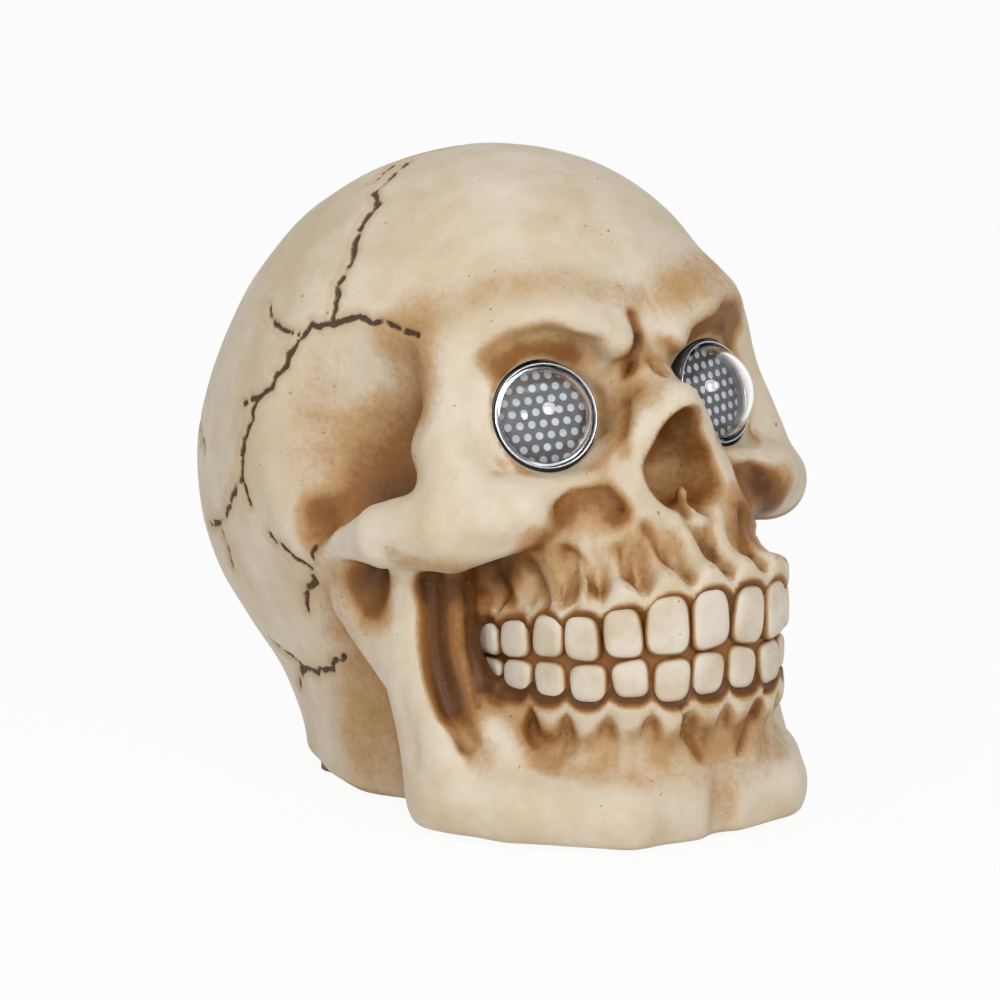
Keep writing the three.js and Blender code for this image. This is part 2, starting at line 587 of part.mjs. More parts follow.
// Eye module: black cup, dotted disc on its ledge, clear dome, bright ring, lamp on its board
function eyePieces() {
  const inner = housing.radius - housing.wall;
  const ledgeZ = -dotDisc.thickness;
  const well = inner - dotDisc.ledge;
  const floorZ = housing.floor - housing.depth;
  const cup = [[housing.wireHole, -housing.depth], [housing.radius, -housing.depth],
    [housing.radius, housing.proud], [inner, housing.proud], [inner, ledgeZ], [well, ledgeZ],
    [well, floorZ], [housing.wireHole, floorZ]];
  const discZ = ledgeZ + gap;
  const discTop = discZ + dotDisc.thickness;
  const disc = [[0, discZ], [lensRadius, discZ], [lensRadius, discTop], [0, discTop]];
  const ringZ = housing.proud + gap;
  const ringTop = ringZ + trimRing.height;
  const ring = [[inner, ringZ], [housing.radius, ringZ], [housing.radius, ringTop - trimRing.chamfer],
    [housing.radius - trimRing.chamfer, ringTop], [inner, ringTop]];
  const lensZ = discTop + gap;
  const boardZ = floorZ + gap;
  const boardTop = boardZ + ledBoard.thickness;
  const board = [[0, boardZ], [well - gap, boardZ], [well - gap, boardTop], [0, boardTop]];
  const ledZ = boardTop + gap;
  const flangeTop = ledZ + led.flange;
  const lamp = [[0, ledZ], [led.flangeRadius, ledZ], [led.flangeRadius, flangeTop],
    [led.radius, flangeTop]];
  const tipCentre = ledZ + led.length - led.radius;
  const tipSteps = 3;
  for (let k = 0; k <= tipSteps; k++) {
    const turn = (k / tipSteps) * (Math.PI / 2);
    lamp.push([led.radius * Math.cos(turn), tipCentre + led.radius * Math.sin(turn)]);
  }
  return {
    eye_housing: [turned([...cup, cup[0]]), 'black'],
    eye_dot_disc: [turned(disc), 'dots'],
    eye_lens: [turned(lensProfile(lensZ)), 'clear'],
    eye_trim_ring: [turned([...ring, ring[0]]), 'chrome'],
    eye_led_board: [turned(board), 'board'],
    eye_led: [turned(lamp, headSides), 'led'],
  };
}

// A thin dome on a short skirt, from the inside of its crown to the outside
function lensProfile(bottom) {
  const capPoints = (radius, rise, base) => {
    const ball = (radius ** 2 + rise ** 2) / (2 * rise);
    const reach = Math.asin(radius / ball);
    return [0, 1, 2, 3, 4, 5].map((k) => {
      const turn = (k / 5) * reach;
      return [ball * Math.sin(turn), base + rise - ball + ball * Math.cos(turn)];
    });
  };
  const top = bottom + lens.skirt;
  const inside = capPoints(lensRadius - lens.wall, lens.rise - lens.wall, top);
  const outside = capPoints(lensRadius, lens.rise, top).reverse();
  return [...inside, [lensRadius - lens.wall, bottom], [lensRadius, bottom], ...outside];
}

// The twin lead from an eye's board, through its channel and down the shaft to the switch
function leadGeometry(side) {
  const { matrix } = eyeFrame(side);
  const onAxis = (z) => new THREE.Vector3(0, 0, z).applyMatrix4(matrix);
  const boardZ = housing.floor - housing.depth;
  const [x, top] = [(side * lead.spacing) / 2, box.flange + gap + slide.height + gap];
  const path = new THREE.CatmullRomCurve3([
    onAxis(boardZ),
    onAxis(boardZ - 9),
    onAxis(boardZ - 20),
    new THREE.Vector3(x * 1.6, 4, 55),
    new THREE.Vector3(x, switchY - 2, 38),
    new THREE.Vector3(x, switchY, 24),
    new THREE.Vector3(x, switchY, top),
  ]);
  const section = new THREE.Shape().absarc(0, 0, lead.radius, 0, 2 * Math.PI);
  const settings = { steps: 20, curveSegments: 4, bevelEnabled: false, extrudePath: path };
  return new THREE.ExtrudeGeometry(section, settings);
}

// Battery box: a tray open below, with a flange that closes the recess, a screw boss and a switch bay
function batteryBox() {
  let solid = solidOf(block(boxWidth, boxLength, boxDepth, 0, box.y));
  solid = join(solid, block(flangeWidth, flangeLength, box.flange, 0, box.y));
  const roof = boxDepth - box.wall;
  const bay = block(bayWidth, bayLength, roof + past, 0, bayY, -past);
  const lid = block(bayWidth + 2 * door.ledge, doorLength, bayFloor + past, 0, doorY, -past);
  const switchBay = block(bayWidth, box.switchBay, roof - box.flange, 0, switchY, box.flange);
  const slot = block(slotWidth, slotLength, box.flange + 2 * past, 0, switchY, -past);
  const pilot = rod(screw.radius + gap, screw.length + gap, 0, bossY, bayFloor - gap, holeSides);
  const [wireX, wireLength] = [lead.spacing / 2, box.wall + 2 * past];
  const wireHole = (x) => rod(lead.radius + gap, wireLength, x, switchY, roof - past, holeSides);
  const wireHoles = [wireHole(-wireX), wireHole(wireX)];
  const holes = boxScrewPlaces.map((y) => screwHole(y, box.flange));
  const heads = boxScrewPlaces.map(headHole);
  return geometryOf(cut(solid, bay, lid, switchBay, slot, pilot, ...wireHoles, ...holes, ...heads));
}

// A screw's way through a plate that lies on the base, and the counterbore for its head
function screwHole(y, plate) {
  return rod(screw.radius + gap, plate + 2 * past, 0, y, -past, holeSides);
}

function headHole(y) {
  return rod(screw.headRadius + gap, screw.head + gap + past, 0, y, -past, headSides);
}

function batteryDoor() {
  const width = bayWidth + 2 * door.ledge - 2 * gap;
  const plate = block(width, doorLength - 2 * gap, door.thickness, 0, doorY);
  return geometryOf(cut(solidOf(plate), screwHole(bossY, door.thickness), headHole(bossY)));
}

// A pan-head screw, head down, its head's underside at z = 0
function screwGeometry() {
  const profile = [[0, 0], [screw.headRadius, 0], [screw.headRadius, screw.head],
    [screw.radius, screw.head], [screw.radius, screw.length - screw.radius],
    [screw.tip, screw.length], [0, screw.length]];
  const across = 2 * screw.headRadius + past;
  const slots = [block(across, screw.slotWidth, screw.slotDepth + past, 0, 0, -past)];
  slots.push(block(screw.slotWidth, across, screw.slotDepth + past, 0, 0, -past));
  return geometryOf(cut(solidOf(turned(profile, headSides)), ...slots));
}

// A battery lying along Y; its nub points towards +Y for heading 1 and towards -Y for heading -1
function cellGeometry(heading) {
  const profile = [[0, 0], [cell.radius, 0], [cell.radius, cell.length], [cell.nubRadius, cell.length],
    [cell.nubRadius, cell.length + cell.nub], [0, cell.length + cell.nub]];
  const geometry = turned(profile).translate(0, 0, -(cell.length + cell.nub) / 2);
  return geometry.rotateX((-heading * Math.PI) / 2);
}

function springGeometry() {
  class Helix extends THREE.Curve {
    getPoint(t, target = new THREE.Vector3()) {
      const turn = 2 * Math.PI * spring.turns * t;
      const rise = (t - 0.5) * (spring.length - 2 * spring.wire);
      return target.set(spring.radius * Math.cos(turn), rise, spring.radius * Math.sin(turn));
    }
  }
  const section = new THREE.Shape().absarc(0, 0, spring.wire, 0, 2 * Math.PI);
  const steps = 8 * spring.turns;
  const settings = { steps, curveSegments: 3, bevelEnabled: false, extrudePath: new Helix() };
  return new THREE.ExtrudeGeometry(section, settings);
}

// Assembly
const group = new THREE.Group();
group.position.set(0, -lengthCentre, pad.thickness);

function place(parent, name, geometry, finish, x = 0, y = 0, z = 0) {
  const mesh = new THREE.Mesh(geometry, material(finish));
  mesh.name = name;
  mesh.position.set(x, y, z);
  parent.add(mesh);
}

place(group, 'skull_casting', skullCasting(), 'resin');

for (const [side, hand] of [[-1, 'right'], [1, 'left']]) {
  const frame = eyeFrame(side);
  for (const [name, [geometry, finish]] of Object.entries(eyePieces())) {
    place(frame, `${name}_${hand}`, geometry, finish);
  }
  group.add(frame);
  place(group, `eye_lead_${hand}`, leadGeometry(side), 'wire');
}

place(group, 'battery_box', batteryBox(), 'black');
place(group, 'battery_door', batteryDoor(), 'black');
const screwRest = gap;
place(group, 'door_screw', screwGeometry(), 'steel', 0, bossY, screwRest);
place(group, 'box_screw_front', screwGeometry(), 'steel', 0, boxScrewPlaces[0], screwRest);
place(group, 'box_screw_rear', screwGeometry(), 'steel', 0, boxScrewPlaces[1], screwRest);

const cellZ = bayFloor + gap + cell.radius;
const plateFront = bayFront + gap + contact.thickness / 2;
const plateRear = bayFront + bayLength - gap - contact.thickness / 2;
const plateZ = bayFloor + gap;
const jumper = block(cell.spacing + contact.width, contact.thickness, contact.height);
place(group, 'contact_jumper', jumper, 'steel', 0, plateFront, plateZ);
for (const [side, hand] of [[-1, 'right'], [1, 'left']]) {
  const x = (side * cell.spacing) / 2;
  const springReach = contact.thickness / 2 + gap + spring.length / 2;
  const springY = side < 0 ? plateFront + springReach : plateRear - springReach;
  const fromPlate = springReach + spring.length / 2 + gap + (cell.length + cell.nub) / 2;
  const cellY = side < 0 ? plateFront + fromPlate : plateRear - fromPlate;
  place(group, `battery_${hand}`, cellGeometry(-side), 'cell', x, cellY, cellZ);
  place(group, `contact_spring_${hand}`, springGeometry(), 'steel', x, springY, cellZ);
  const plate = block(contact.width, contact.thickness, contact.height);
  place(group, `contact_plate_${hand}`, plate, 'steel', x, plateRear, plateZ);
}

const switchZ = box.flange + gap;
const guide = block(slotWidth, slotLength, slide.recess + past, 0, 0, -past);
const switchBody = geometryOf(cut(solidOf(block(slide.width, slide.length, slide.height)), guide));
place(group, 'switch_body', switchBody, 'black', 0, switchY, switchZ);
const knobHeight = switchZ + slide.recess - gap - slide.below;
const knob = block(slide.knobWidth, slide.knobLength, knobHeight);
place(group, 'switch_knob', knob, 'black', -slide.travel / 2, switchY, slide.below);

for (const [side, hand] of [[-1, 'right'], [1, 'left']]) {
  for (const [end, y] of [['front', pad.frontY], ['rear', pad.rearY]]) {
    const foot = rod(pad.radius, pad.thickness);
    place(group, `foot_pad_${end}_${hand}`, foot, 'pad', side * padX, y, -pad.thickness);
  }
}

export default group;
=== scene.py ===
from math import asin, atan2, cos, hypot, pi, radians, sin

import bpy
import numpy as np
from mathutils import Euler, Matrix, Vector
from mathutils.bvhtree import BVHTree


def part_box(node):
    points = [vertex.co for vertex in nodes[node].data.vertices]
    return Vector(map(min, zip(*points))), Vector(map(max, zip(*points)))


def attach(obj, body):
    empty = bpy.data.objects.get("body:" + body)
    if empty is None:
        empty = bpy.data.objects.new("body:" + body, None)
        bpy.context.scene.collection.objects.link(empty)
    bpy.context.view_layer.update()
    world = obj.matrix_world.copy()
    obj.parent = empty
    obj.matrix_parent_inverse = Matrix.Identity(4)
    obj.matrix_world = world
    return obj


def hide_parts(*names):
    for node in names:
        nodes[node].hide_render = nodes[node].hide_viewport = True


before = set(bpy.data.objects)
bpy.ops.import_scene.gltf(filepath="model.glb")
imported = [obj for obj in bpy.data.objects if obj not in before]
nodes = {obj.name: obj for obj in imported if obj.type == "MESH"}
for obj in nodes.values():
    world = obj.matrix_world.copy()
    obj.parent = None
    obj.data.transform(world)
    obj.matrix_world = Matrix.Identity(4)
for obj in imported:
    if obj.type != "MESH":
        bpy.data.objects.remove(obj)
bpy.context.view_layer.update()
mm = 0.001
castingShift = np.array([0.0, 0.5, 1.2])  # from the casting's own millimetres to the frame's
bpy.ops.object.select_all(action="DESELECT")
print("frame loaded:", len(nodes), "nodes")


# Camera, at the photograph's angle
photoView = {
    "azimuth": -38.0, "elevation": 11.3, "distance": 900.0, "target": (1.0, 0.5, 53.2),
    "lens": 168.48, "sensor": 36.0, "pixels": 1000,
}


def viewAxes():
    turn, tilt = radians(photoView["azimuth"]), radians(photoView["elevation"])
    back = Vector((sin(turn) * cos(tilt), -cos(turn) * cos(tilt), sin(tilt)))
    right = Vector((cos(turn), sin(turn), 0))
    return right, back.cross(right), back


def towards(sideways, upwards, backwards):
    right, up, back = viewAxes()
    return right * sideways + up * upwards + back * backwards


def addCamera():
    back = viewAxes()[2]
    place = (Vector(photoView["target"]) + back * photoView["distance"]) * mm
    bpy.ops.object.camera_add(location=place, rotation=(-back).to_track_quat("-Z", "Y").to_euler())
    camera = bpy.context.object
    camera.name = "photo_camera"
    camera.data.sensor_width = photoView["sensor"]
    camera.data.lens = photoView["lens"]
    camera.data.clip_start = 0.01
    bpy.context.scene.camera = camera


def pixelRay(px, py):
    reach = photoView["lens"] / photoView["sensor"] * photoView["pixels"]
    half = photoView["pixels"] / 2
    back = viewAxes()[2]
    start = Vector(photoView["target"]) + back * photoView["distance"]
    return start, towards((px - half) / reach, (half - py) / reach, -1).normalized()


addCamera()


# Small helpers for modelling as by hand
def pickOnly(piece):
    bpy.ops.object.select_all(action="DESELECT")
    piece.select_set(True)
    bpy.context.view_layer.objects.active = piece


def applyModifier(piece, kind, **settings):
    modifier = piece.modifiers.new(kind.title(), kind)
    for name, value in settings.items():
        setattr(modifier, name, value)
    pickOnly(piece)
    bpy.ops.object.modifier_apply(modifier=modifier.name)


def carryPlace(piece, matrix):
    piece.data.transform(matrix @ piece.matrix_world)
    piece.matrix_world = Matrix.Identity(4)
    return piece


def smoothByAngle(piece, angle):
    pickOnly(piece)
    bpy.ops.object.shade_smooth_by_angle(angle=radians(angle))


def joinPieces(pieces, name):
    bpy.ops.object.select_all(action="DESELECT")
    for piece in pieces:
        piece.select_set(True)
    bpy.context.view_layer.objects.active = pieces[0]
    bpy.ops.object.join()
    pieces[0].name = name
    return pieces[0]


def settle(piece, material, stands):
    piece.data.materials.clear()
    piece.data.materials.append(material)
    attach(piece, "skull")
    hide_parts(stands)


def meshPiece(name, vertices, edges, faces):
    mesh = bpy.data.meshes.new(name)
    mesh.from_pydata(vertices, edges, faces)
    mesh.update()
    piece = bpy.data.objects.new(name, mesh)
    bpy.context.scene.collection.objects.link(piece)
    return piece


def readVectors(items, kind):
    flat = np.empty(len(items) * 3)
    items.foreach_get(kind, flat)
    return flat.reshape(-1, 3)


def setAttribute(mesh, name, values):
    found = mesh.attributes.get(name) or mesh.attributes.new(name, "FLOAT", "POINT")
    found.data.foreach_set("value", np.asarray(values, np.float32))


# Shader maths as expressions on sockets
class Flow:
    def __init__(self, tree, socket=None):
        self.tree = tree
        self.socket = socket

    def node(self, kind, settings=None, inputs=None, output=0):
        made = self.tree.nodes.new(kind)
        for name, value in (settings or {}).items():
            setattr(made, name, value)
        for name, value in (inputs or {}).items():
            if isinstance(value, Flow):
                self.tree.links.new(value.socket, made.inputs[name])
            else:
                made.inputs[name].default_value = value
        return Flow(self.tree, made.outputs[output])

    def math(self, operation, *values):
        return self.node("ShaderNodeMath", {"operation": operation}, dict(enumerate(values)))

    def __add__(self, other):
        return self.math("ADD", self, other)

    def __radd__(self, other):
        return self.math("ADD", other, self)

    def __sub__(self, other):
        return self.math("SUBTRACT", self, other)

    def __rsub__(self, other):
        return self.math("SUBTRACT", other, self)

    def __mul__(self, other):
        return self.math("MULTIPLY", self, other)

    def __truediv__(self, other):
        return self.math("DIVIDE", self, other)

    def clamp(self):
        return self.math("MINIMUM", self.math("MAXIMUM", self, 0.0), 1.0)

    def ease(self, low, high):  # 0 below low, 1 above high, smooth between
        settings = {"interpolation_type": "SMOOTHSTEP"}
        return self.node("ShaderNodeMapRange", settings, {"Value": self, "From Min": low, "From Max": high})

    def blend(self, a, b):  # colour a where self is 0, colour b where it is 1
        a = (*a, 1) if isinstance(a, tuple) else a
        b = (*b, 1) if isinstance(b, tuple) else b
        return self.node("ShaderNodeMix", {"data_type": "RGBA"}, {0: self, 6: a, 7: b}, 2)

    def noise(self, scale, detail, roughness):
        values = {"Vector": self.coords(), "Scale": scale, "Detail": detail, "Roughness": roughness}
        return self.node("ShaderNodeTexNoise", {}, values)

    def coords(self):
        return self.node("ShaderNodeTexCoord", {}, {}, "Object")

    def attribute(self, name):
        return self.node("ShaderNodeAttribute", {"attribute_name": name}, {}, "Fac")

    def bump(self, height, strength, distance):
        return self.node("ShaderNodeBump", {}, {"Height": height, "Strength": strength, "Distance": distance})


def paint(red, green, blue):  # a screen colour, 0 to 255, as the linear colour that shaders take
    linear = []
    for value in (red, green, blue):
        share = value / 255
        linear.append(share / 12.92 if share <= 0.04045 else ((share + 0.055) / 1.055) ** 2.4)
    return tuple(linear)


def newMaterial(name, **fixed):
    material = bpy.data.materials.new(name)
    material.use_nodes = True
    shader = material.node_tree.nodes["Principled BSDF"]
    for socket, value in fixed.items():
        shader.inputs[socket.replace("_", " ")].default_value = value
    return material, Flow(material.node_tree), shader


def feed(shader, flow, **sockets):
    for socket, value in sockets.items():
        flow.tree.links.new(value.socket, shader.inputs[socket.replace("_", " ")])


# Bone resin: ivory paint, a brown wash that stays in the hollows with painted shade there too, dark cracks
# and pin holes
boneFinish = {
    "ivory": paint(219, 208, 190), "cream": paint(202, 182, 152), "tan": paint(182, 146, 102),
    "brown": paint(136, 89, 42), "dark": paint(90, 54, 19), "crack": paint(56, 37, 20),
    "patchSize": 45.0, "mottleSize": 190.0, "grainSize": 900.0, "pinHoleSize": 765.0,
    "soakMottle": 0.42, "soakPatches": 0.22, "soakGrain": 0.22,
    "soaks": {"tan": (0.12, 0.5), "brown": (0.42, 0.82), "dark": (0.8, 1.25)},
    "pinHoles": (0.735, 0.765), "pinHoleStrength": 0.75,
    "crackWidth": 0.72, "crackGrain": 0.7, "crackMottle": 1.3, "crackStrength": 0.92,
    "haloWidth": 4, "haloStrength": 0.4, "roughness": 0.56, "soakShine": 0.08,
}


def boneResin():
    look = boneFinish
    material, flow, shader = newMaterial("bone_resin", IOR=1.48, Specular_IOR_Level=0.28)
    patches = flow.noise(look["patchSize"], 4, 0.6)
    mottle = flow.noise(look["mottleSize"], 5, 0.62)
    grain = flow.noise(look["grainSize"], 3, 0.6)
    washAndShade = flow.attribute("washAndShade")
    colour = (patches * 0.75 + mottle * 0.35 - 0.05).ease(0.3, 0.72).blend(look["cream"], look["ivory"])
    # the brown wash together with the painted shade in the hollows, broken up by noise
    soakedAndShaded = washAndShade + (mottle - 0.5) * look["soakMottle"] + (patches - 0.5) * look["soakPatches"]
    soakedAndShaded = soakedAndShaded + (grain - 0.5) * look["soakGrain"]
    for shade, (low, high) in look["soaks"].items():
        colour = soakedAndShaded.ease(low, high).blend(colour, look[shade])
    pinHoles = (flow.noise(look["pinHoleSize"], 2, 0.5) + washAndShade * 0.03).ease(*look["pinHoles"])
    colour = (pinHoles * look["pinHoleStrength"]).blend(colour, look["brown"])
    ragged = flow.attribute("crack") + (grain - 0.5) * look["crackGrain"]
    ragged = ragged + (mottle - 0.5) * look["crackMottle"]
    width = look["crackWidth"]
    crack = 1 - ragged.ease(width * 0.5, width)
    halo = 1 - ragged.ease(width, width * look["haloWidth"])
    colour = (halo * look["haloStrength"]).blend(colour, look["tan"])
    colour = (crack * look["crackStrength"]).blend(colour, look["crack"])
    rough = look["roughness"] - soakedAndShaded.ease(0.4, 1.0) * look["soakShine"]
    rough = rough + crack * 0.2 + (mottle - 0.5) * 0.12
    relief = mottle * 0.5 + grain * 0.22 - crack * 1.4 - pinHoles * 0.6
    feed(shader, flow, Base_Color=colour, Roughness=rough, Normal=flow.bump(relief, 0.45, 0.0009))
    return material


# Teeth: the same resin, paler on the faces, brown where the wash runs down between them
toothFinish = {
    "ivory": paint(219, 209, 193), "cream": paint(201, 184, 158),
    "patchSize": 90.0, "mottleSize": 260.0, "grainSize": 900.0, "speckSize": 520.0,
    "soakMottle": 0.42, "soakGrain": 0.16, "soaks": {"tan": (0.2, 0.55), "brown": (0.5, 0.95)},
    "specks": (0.74, 0.77), "speckStrength": 0.7, "roughness": 0.5, "soakShine": 0.14,
}


def toothIvory():
    look = toothFinish
    material, flow, shader = newMaterial("tooth_ivory", IOR=1.48, Specular_IOR_Level=0.32)
    mottle = flow.noise(look["mottleSize"], 5, 0.6)
    grain = flow.noise(look["grainSize"], 3, 0.6)
    patches = flow.noise(look["patchSize"], 3, 0.5)
    colour = (patches * 0.7 + mottle * 0.3).ease(0.36, 0.62).blend(look["cream"], look["ivory"])
    soakedAndShaded = flow.attribute("washAndShade") + (mottle - 0.5) * look["soakMottle"] + (grain - 0.5) * look["soakGrain"]
    for shade, (low, high) in look["soaks"].items():
        colour = soakedAndShaded.ease(low, high).blend(colour, boneFinish[shade])
    specks = flow.noise(look["speckSize"], 2, 0.5).ease(*look["specks"])
    colour = (specks * look["speckStrength"]).blend(colour, boneFinish["brown"])
    rough = look["roughness"] - soakedAndShaded.ease(0.4, 1.0) * look["soakShine"] + (mottle - 0.5) * 0.12
    relief = mottle * 0.6 + grain * 0.25 - specks * 0.5
    feed(shader, flow, Base_Color=colour, Roughness=rough, Normal=flow.bump(relief, 0.3, 0.0006))
    return material


# Plastic, metal and clear finishes
plasticFinish = {"grainSize": 1800.0, "wearSize": 120.0, "wear": (0.45, 0.75), "gain": 1.9, "lift": 0.004}
metalFinish = {"smudge": (0.3, 0.75), "dull": 0.72, "scratches": 9}
domeFinish = {"smearSize": 140.0, "clear": (0.985, 0.99, 1.0), "smeared": (0.955, 0.965, 0.975), "haze": 0.02}


def blackPlastic(name, shade, roughness):
    look = plasticFinish
    material, flow, shader = newMaterial(name)
    grain = flow.noise(look["grainSize"], 4, 0.6)
    wear = flow.noise(look["wearSize"], 4, 0.6)
    worn = tuple(value * look["gain"] + look["lift"] for value in shade)
    feed(shader, flow, Base_Color=wear.ease(*look["wear"]).blend(shade, worn),
         Roughness=roughness + (wear - 0.5) * 0.2, Normal=flow.bump(grain, 0.12, 0.0002))
    return material


def brightMetal(name, shade, roughness, fineness):
    look = metalFinish
    material, flow, shader = newMaterial(name, Metallic=1.0)
    smudge = flow.noise(fineness, 4, 0.6)
    scratch = flow.noise(fineness * look["scratches"], 3, 0.7)
    darker = tuple(value * look["dull"] for value in shade)
    feed(shader, flow, Base_Color=smudge.ease(*look["smudge"]).blend(shade, darker),
         Roughness=roughness + (smudge - 0.5) * 0.16 + (scratch - 0.5) * 0.08,
         Normal=flow.bump(scratch, 0.06, 0.0001))
    return material


def clearDome():
    look = domeFinish
    material, flow, shader = newMaterial("clear_dome", IOR=1.46, Transmission_Weight=1.0)
    smear = flow.noise(look["smearSize"], 3, 0.5)
    tint = smear.ease(0.4, 0.8).blend(look["clear"], look["smeared"])
    feed(shader, flow, Base_Color=tint, Roughness=smear.ease(0.5, 0.8) * look["haze"])
    return material


# Disc behind each dome: dark grey with offset rows of pale round dots
discFinish = {
    "pitch": 2.25, "rowPitch": 2.18, "dot": 0.7, "soft": 0.12, "turn": -4.0, "fleckSize": 700.0,
    "ground": (paint(30, 30, 34), paint(48, 48, 54)), "pale": (paint(178, 184, 192), paint(206, 210, 216)),
}


def dottedDisc(name, side):
    look = discFinish
    material, flow, shader = newMaterial(name, Roughness=0.38)
    matrix = eyeMatrix(side)
    values = {"Vector": flow.coords(), "Location": matrix.to_translation()}
    values["Rotation"] = matrix.to_euler()
    local = flow.node("ShaderNodeMapping", {"vector_type": "TEXTURE"}, values)
    turned = flow.node("ShaderNodeVectorRotate", {"rotation_type": "Z_AXIS"},
                       {"Vector": local, "Angle": radians(look["turn"])})
    split = flow.node("ShaderNodeSeparateXYZ", {}, {"Vector": turned})
    x = split / mm
    y = Flow(flow.tree, split.socket.node.outputs["Y"]) / mm
    row = flow.math("FLOOR", y / look["rowPitch"])
    shift = flow.math("FLOORED_MODULO", row, 2.0) * 0.5
    across = (flow.math("FRACT", x / look["pitch"] + shift) - 0.5) * look["pitch"]
    along = (flow.math("FRACT", y / look["rowPitch"]) - 0.5) * look["rowPitch"]
    away = flow.math("SQRT", across * across + along * along)
    dot = 1 - away.ease(look["dot"] - look["soft"], look["dot"] + look["soft"])
    fleck = flow.noise(look["fleckSize"], 4, 0.6)
    ground, pale = (fleck.ease(0.3, 0.7).blend(*look[shade]) for shade in ("ground", "pale"))
    feed(shader, flow, Base_Color=dot.blend(ground, pale), Normal=flow.bump(dot + fleck * 0.2, 0.15, 0.0002))
    return material


def mottled(name, shade, second, size, roughness, relief=0.2):
    material, flow, shader = newMaterial(name)
    patch = flow.noise(size, 4, 0.6)
    grain = flow.noise(size * 8, 3, 0.6)
    feed(shader, flow, Base_Color=(patch * 0.6 + grain * 0.4).ease(0.35, 0.65).blend(shade, second),
         Roughness=roughness + (grain - 0.5) * 0.2, Normal=flow.bump(grain + patch, relief, 0.0003))
    return material


# The skull's bones, in the casting's millimetres; one half, which the other mirrors
bones = {
    "vault": (0, 8, 71, 48.5, 46, 47), "forehead": (0, -7, 84, 39, 37, 34.8),
    "occiput": (0, 20, 54, 44.5, 48.5, 43),
    "neck": {"y": 4.5, "halfWidth": 33.8, "length": 38, "top": 30, "skirt": 4, "taper": 22,
             "taperReach": 33.5},
    "brow": [(8, -38.5, 90, 4.6), (15, -38.5, 92.5, 5), (22, -34, 92, 5), (29, -27.5, 87.5, 4.6)],
    "orbitSide": [(30.5, -27.5, 88, 4.8), (34, -30, 79, 4.6), (36, -33.5, 66, 6)],
    "cheek": [(19, -46, 62.5, 5.5), (29, -43.5, 60, 6.8), (38, -35, 57, 8), (43.5, -23, 54.5, 6),
              (44.5, -6.5, 50, 1.8)],
    "orbitFloor": [(34.5, -28.5, 71, 5.5), (30.5, -31, 64, 5.5), (21, -36, 61, 5.5)],
    "nasalRoot": [(0, -34, 88, 6), (0, -40.5, 83, 4), (0, -46, 79.5, 4.4), (0, -53.5, 77.6, 4)],
    "nasalSide": [(5, -49, 76, 4.5), (9.5, -49, 67, 4.6), (11, -52, 58, 6)],
    "earRoot": [(36, 2, 50, 9), (38, -6, 49, 6.5)],
    "ramus": [(41, -10.5, 41, 7.6), (39, -24, 28, 6.2), (36.5, -30, 14, 8.6), (34.5, -32.5, 6.5, 8.2)],
    "coronoid": [(39, -22.5, 47, 4.4), (38.5, -22.5, 33, 6)],
    "throat": [(29, -19, 46, 8), (29.5, -21, 30, 8), (29, -22, 8, 8)],
    "cheekMuscle": [(33, -28.2, 48, 4.6), (33, -28.6, 33, 4.6), (31.2, -33, 22, 5.2), (27.5, -41, 14, 5.4)],
    "jawBody": [(34.5, -31, 6, 8.4), (28, -43.5, 5, 9), (16.5, -58.5, 5, 9.2), (7, -58.5, 5, 8.4)],
    "maxilla": (0, -33, 52, 27, 29, 20), "alveolus": (0, -33, 45, 26.5, 34.5, 15),
    "temple": (54, -18, 68, 20, 17, 24), "templeEdge": (50, -18.5, 78, 14, 10.5, 13),
    "underCheek": (30, -44, 47, 6, 10, 8),
    "noseWide": (0, -59, 66.1, 8.6, 15, 7.3), "noseTop": (0, -58, 71.6, 4.6, 13, 7),
    "orbitInner": (13, -47, 82, 6, 7.5, 8),
    "noseSpine": [(0, -55, 62.4, 0.8), (0, -57, 56.5, 2.5)],
    "jawNotch": (48.5, -16.5, 45.5, 9, 6.2, 10), "ear": (48, -4, 54, 5, 4, 3.6),
    "underBrow": [(29.6, -38.7, 86.6, 3.4), (26.8, -40.6, 89.5, 3.4), (20.9, -42.5, 90.1, 3.4),
                  (13.1, -42.9, 87, 3.4)],
    "underEye": [(23.2, -53.9, 61.4, 4.4), (18.5, -55.8, 62.2, 4.4)],
    "frown": [(0, -46.6, 96, 1.6), (0, -47.6, 89, 2.4), (5.2, -46.8, 86, 1.9), (8.6, -44, 82.6, 1.7)],
    "mouthCorner": [(38, -29.4, 47, 2.1), (38.6, -30.9, 33.8, 2.1), (38.6, -32.5, 28.6, 2),
                    (38.2, -35.5, 23.1, 1.8), (35.8, -37.6, 17.2, 1.2)],
    "nasalRim": [(0, -54.5, 79, 3), (4.6, -51.8, 75, 2.3), (8.2, -51.5, 67.5, 2.3), (8.4, -52.8, 61.5, 2.4),
                 (4, -56.5, 58.4, 2.2)],
    "chinCleft": [(0, -69, -1, 3.0), (0, -69.5, 16, 1.8)],
    "ramusFlatness": 1.8, "gumInset": 1.3, "rim": 2.0,
}
runTogether = {"broad": 12, "wide": 18, "soft": 6, "firm": 4, "crisp": 2.5, "sharp": 1.4}
eyes = {
    "x": 19.7, "y": -39, "z": 76, "upward": 18, "radius": 10.2, "depth": 12, "outward": 16,
    "outwardRight": 21, "outwardLeft": 11, "flare": 0.5, "flareFar": 2.4, "lift": 3.6,
    "bossWall": 3, "bossBack": 2, "bossFront": -4, "orbitFrom": 5, "orbitTo": 16,
}
bite = {"z": 35.7, "slope": 0.12, "power": 2.7, "front": -69.5, "archSteps": 600, "archShare": 0.62}
upperRow = {
    "arch": (-30, 27, 39.5), "side": 1, "widths": (8.8, 8.7, 8.3, 8, 8.1, 8, 7),
    "heights": (11.4, 11, 9.4, 8.6, 8.4, 7.6, 7), "gap": 0.3, "taper": 0.13, "lift": 0.5,
    "rootDepth": 1.7, "name": "upper_teeth", "seed": 5,
}
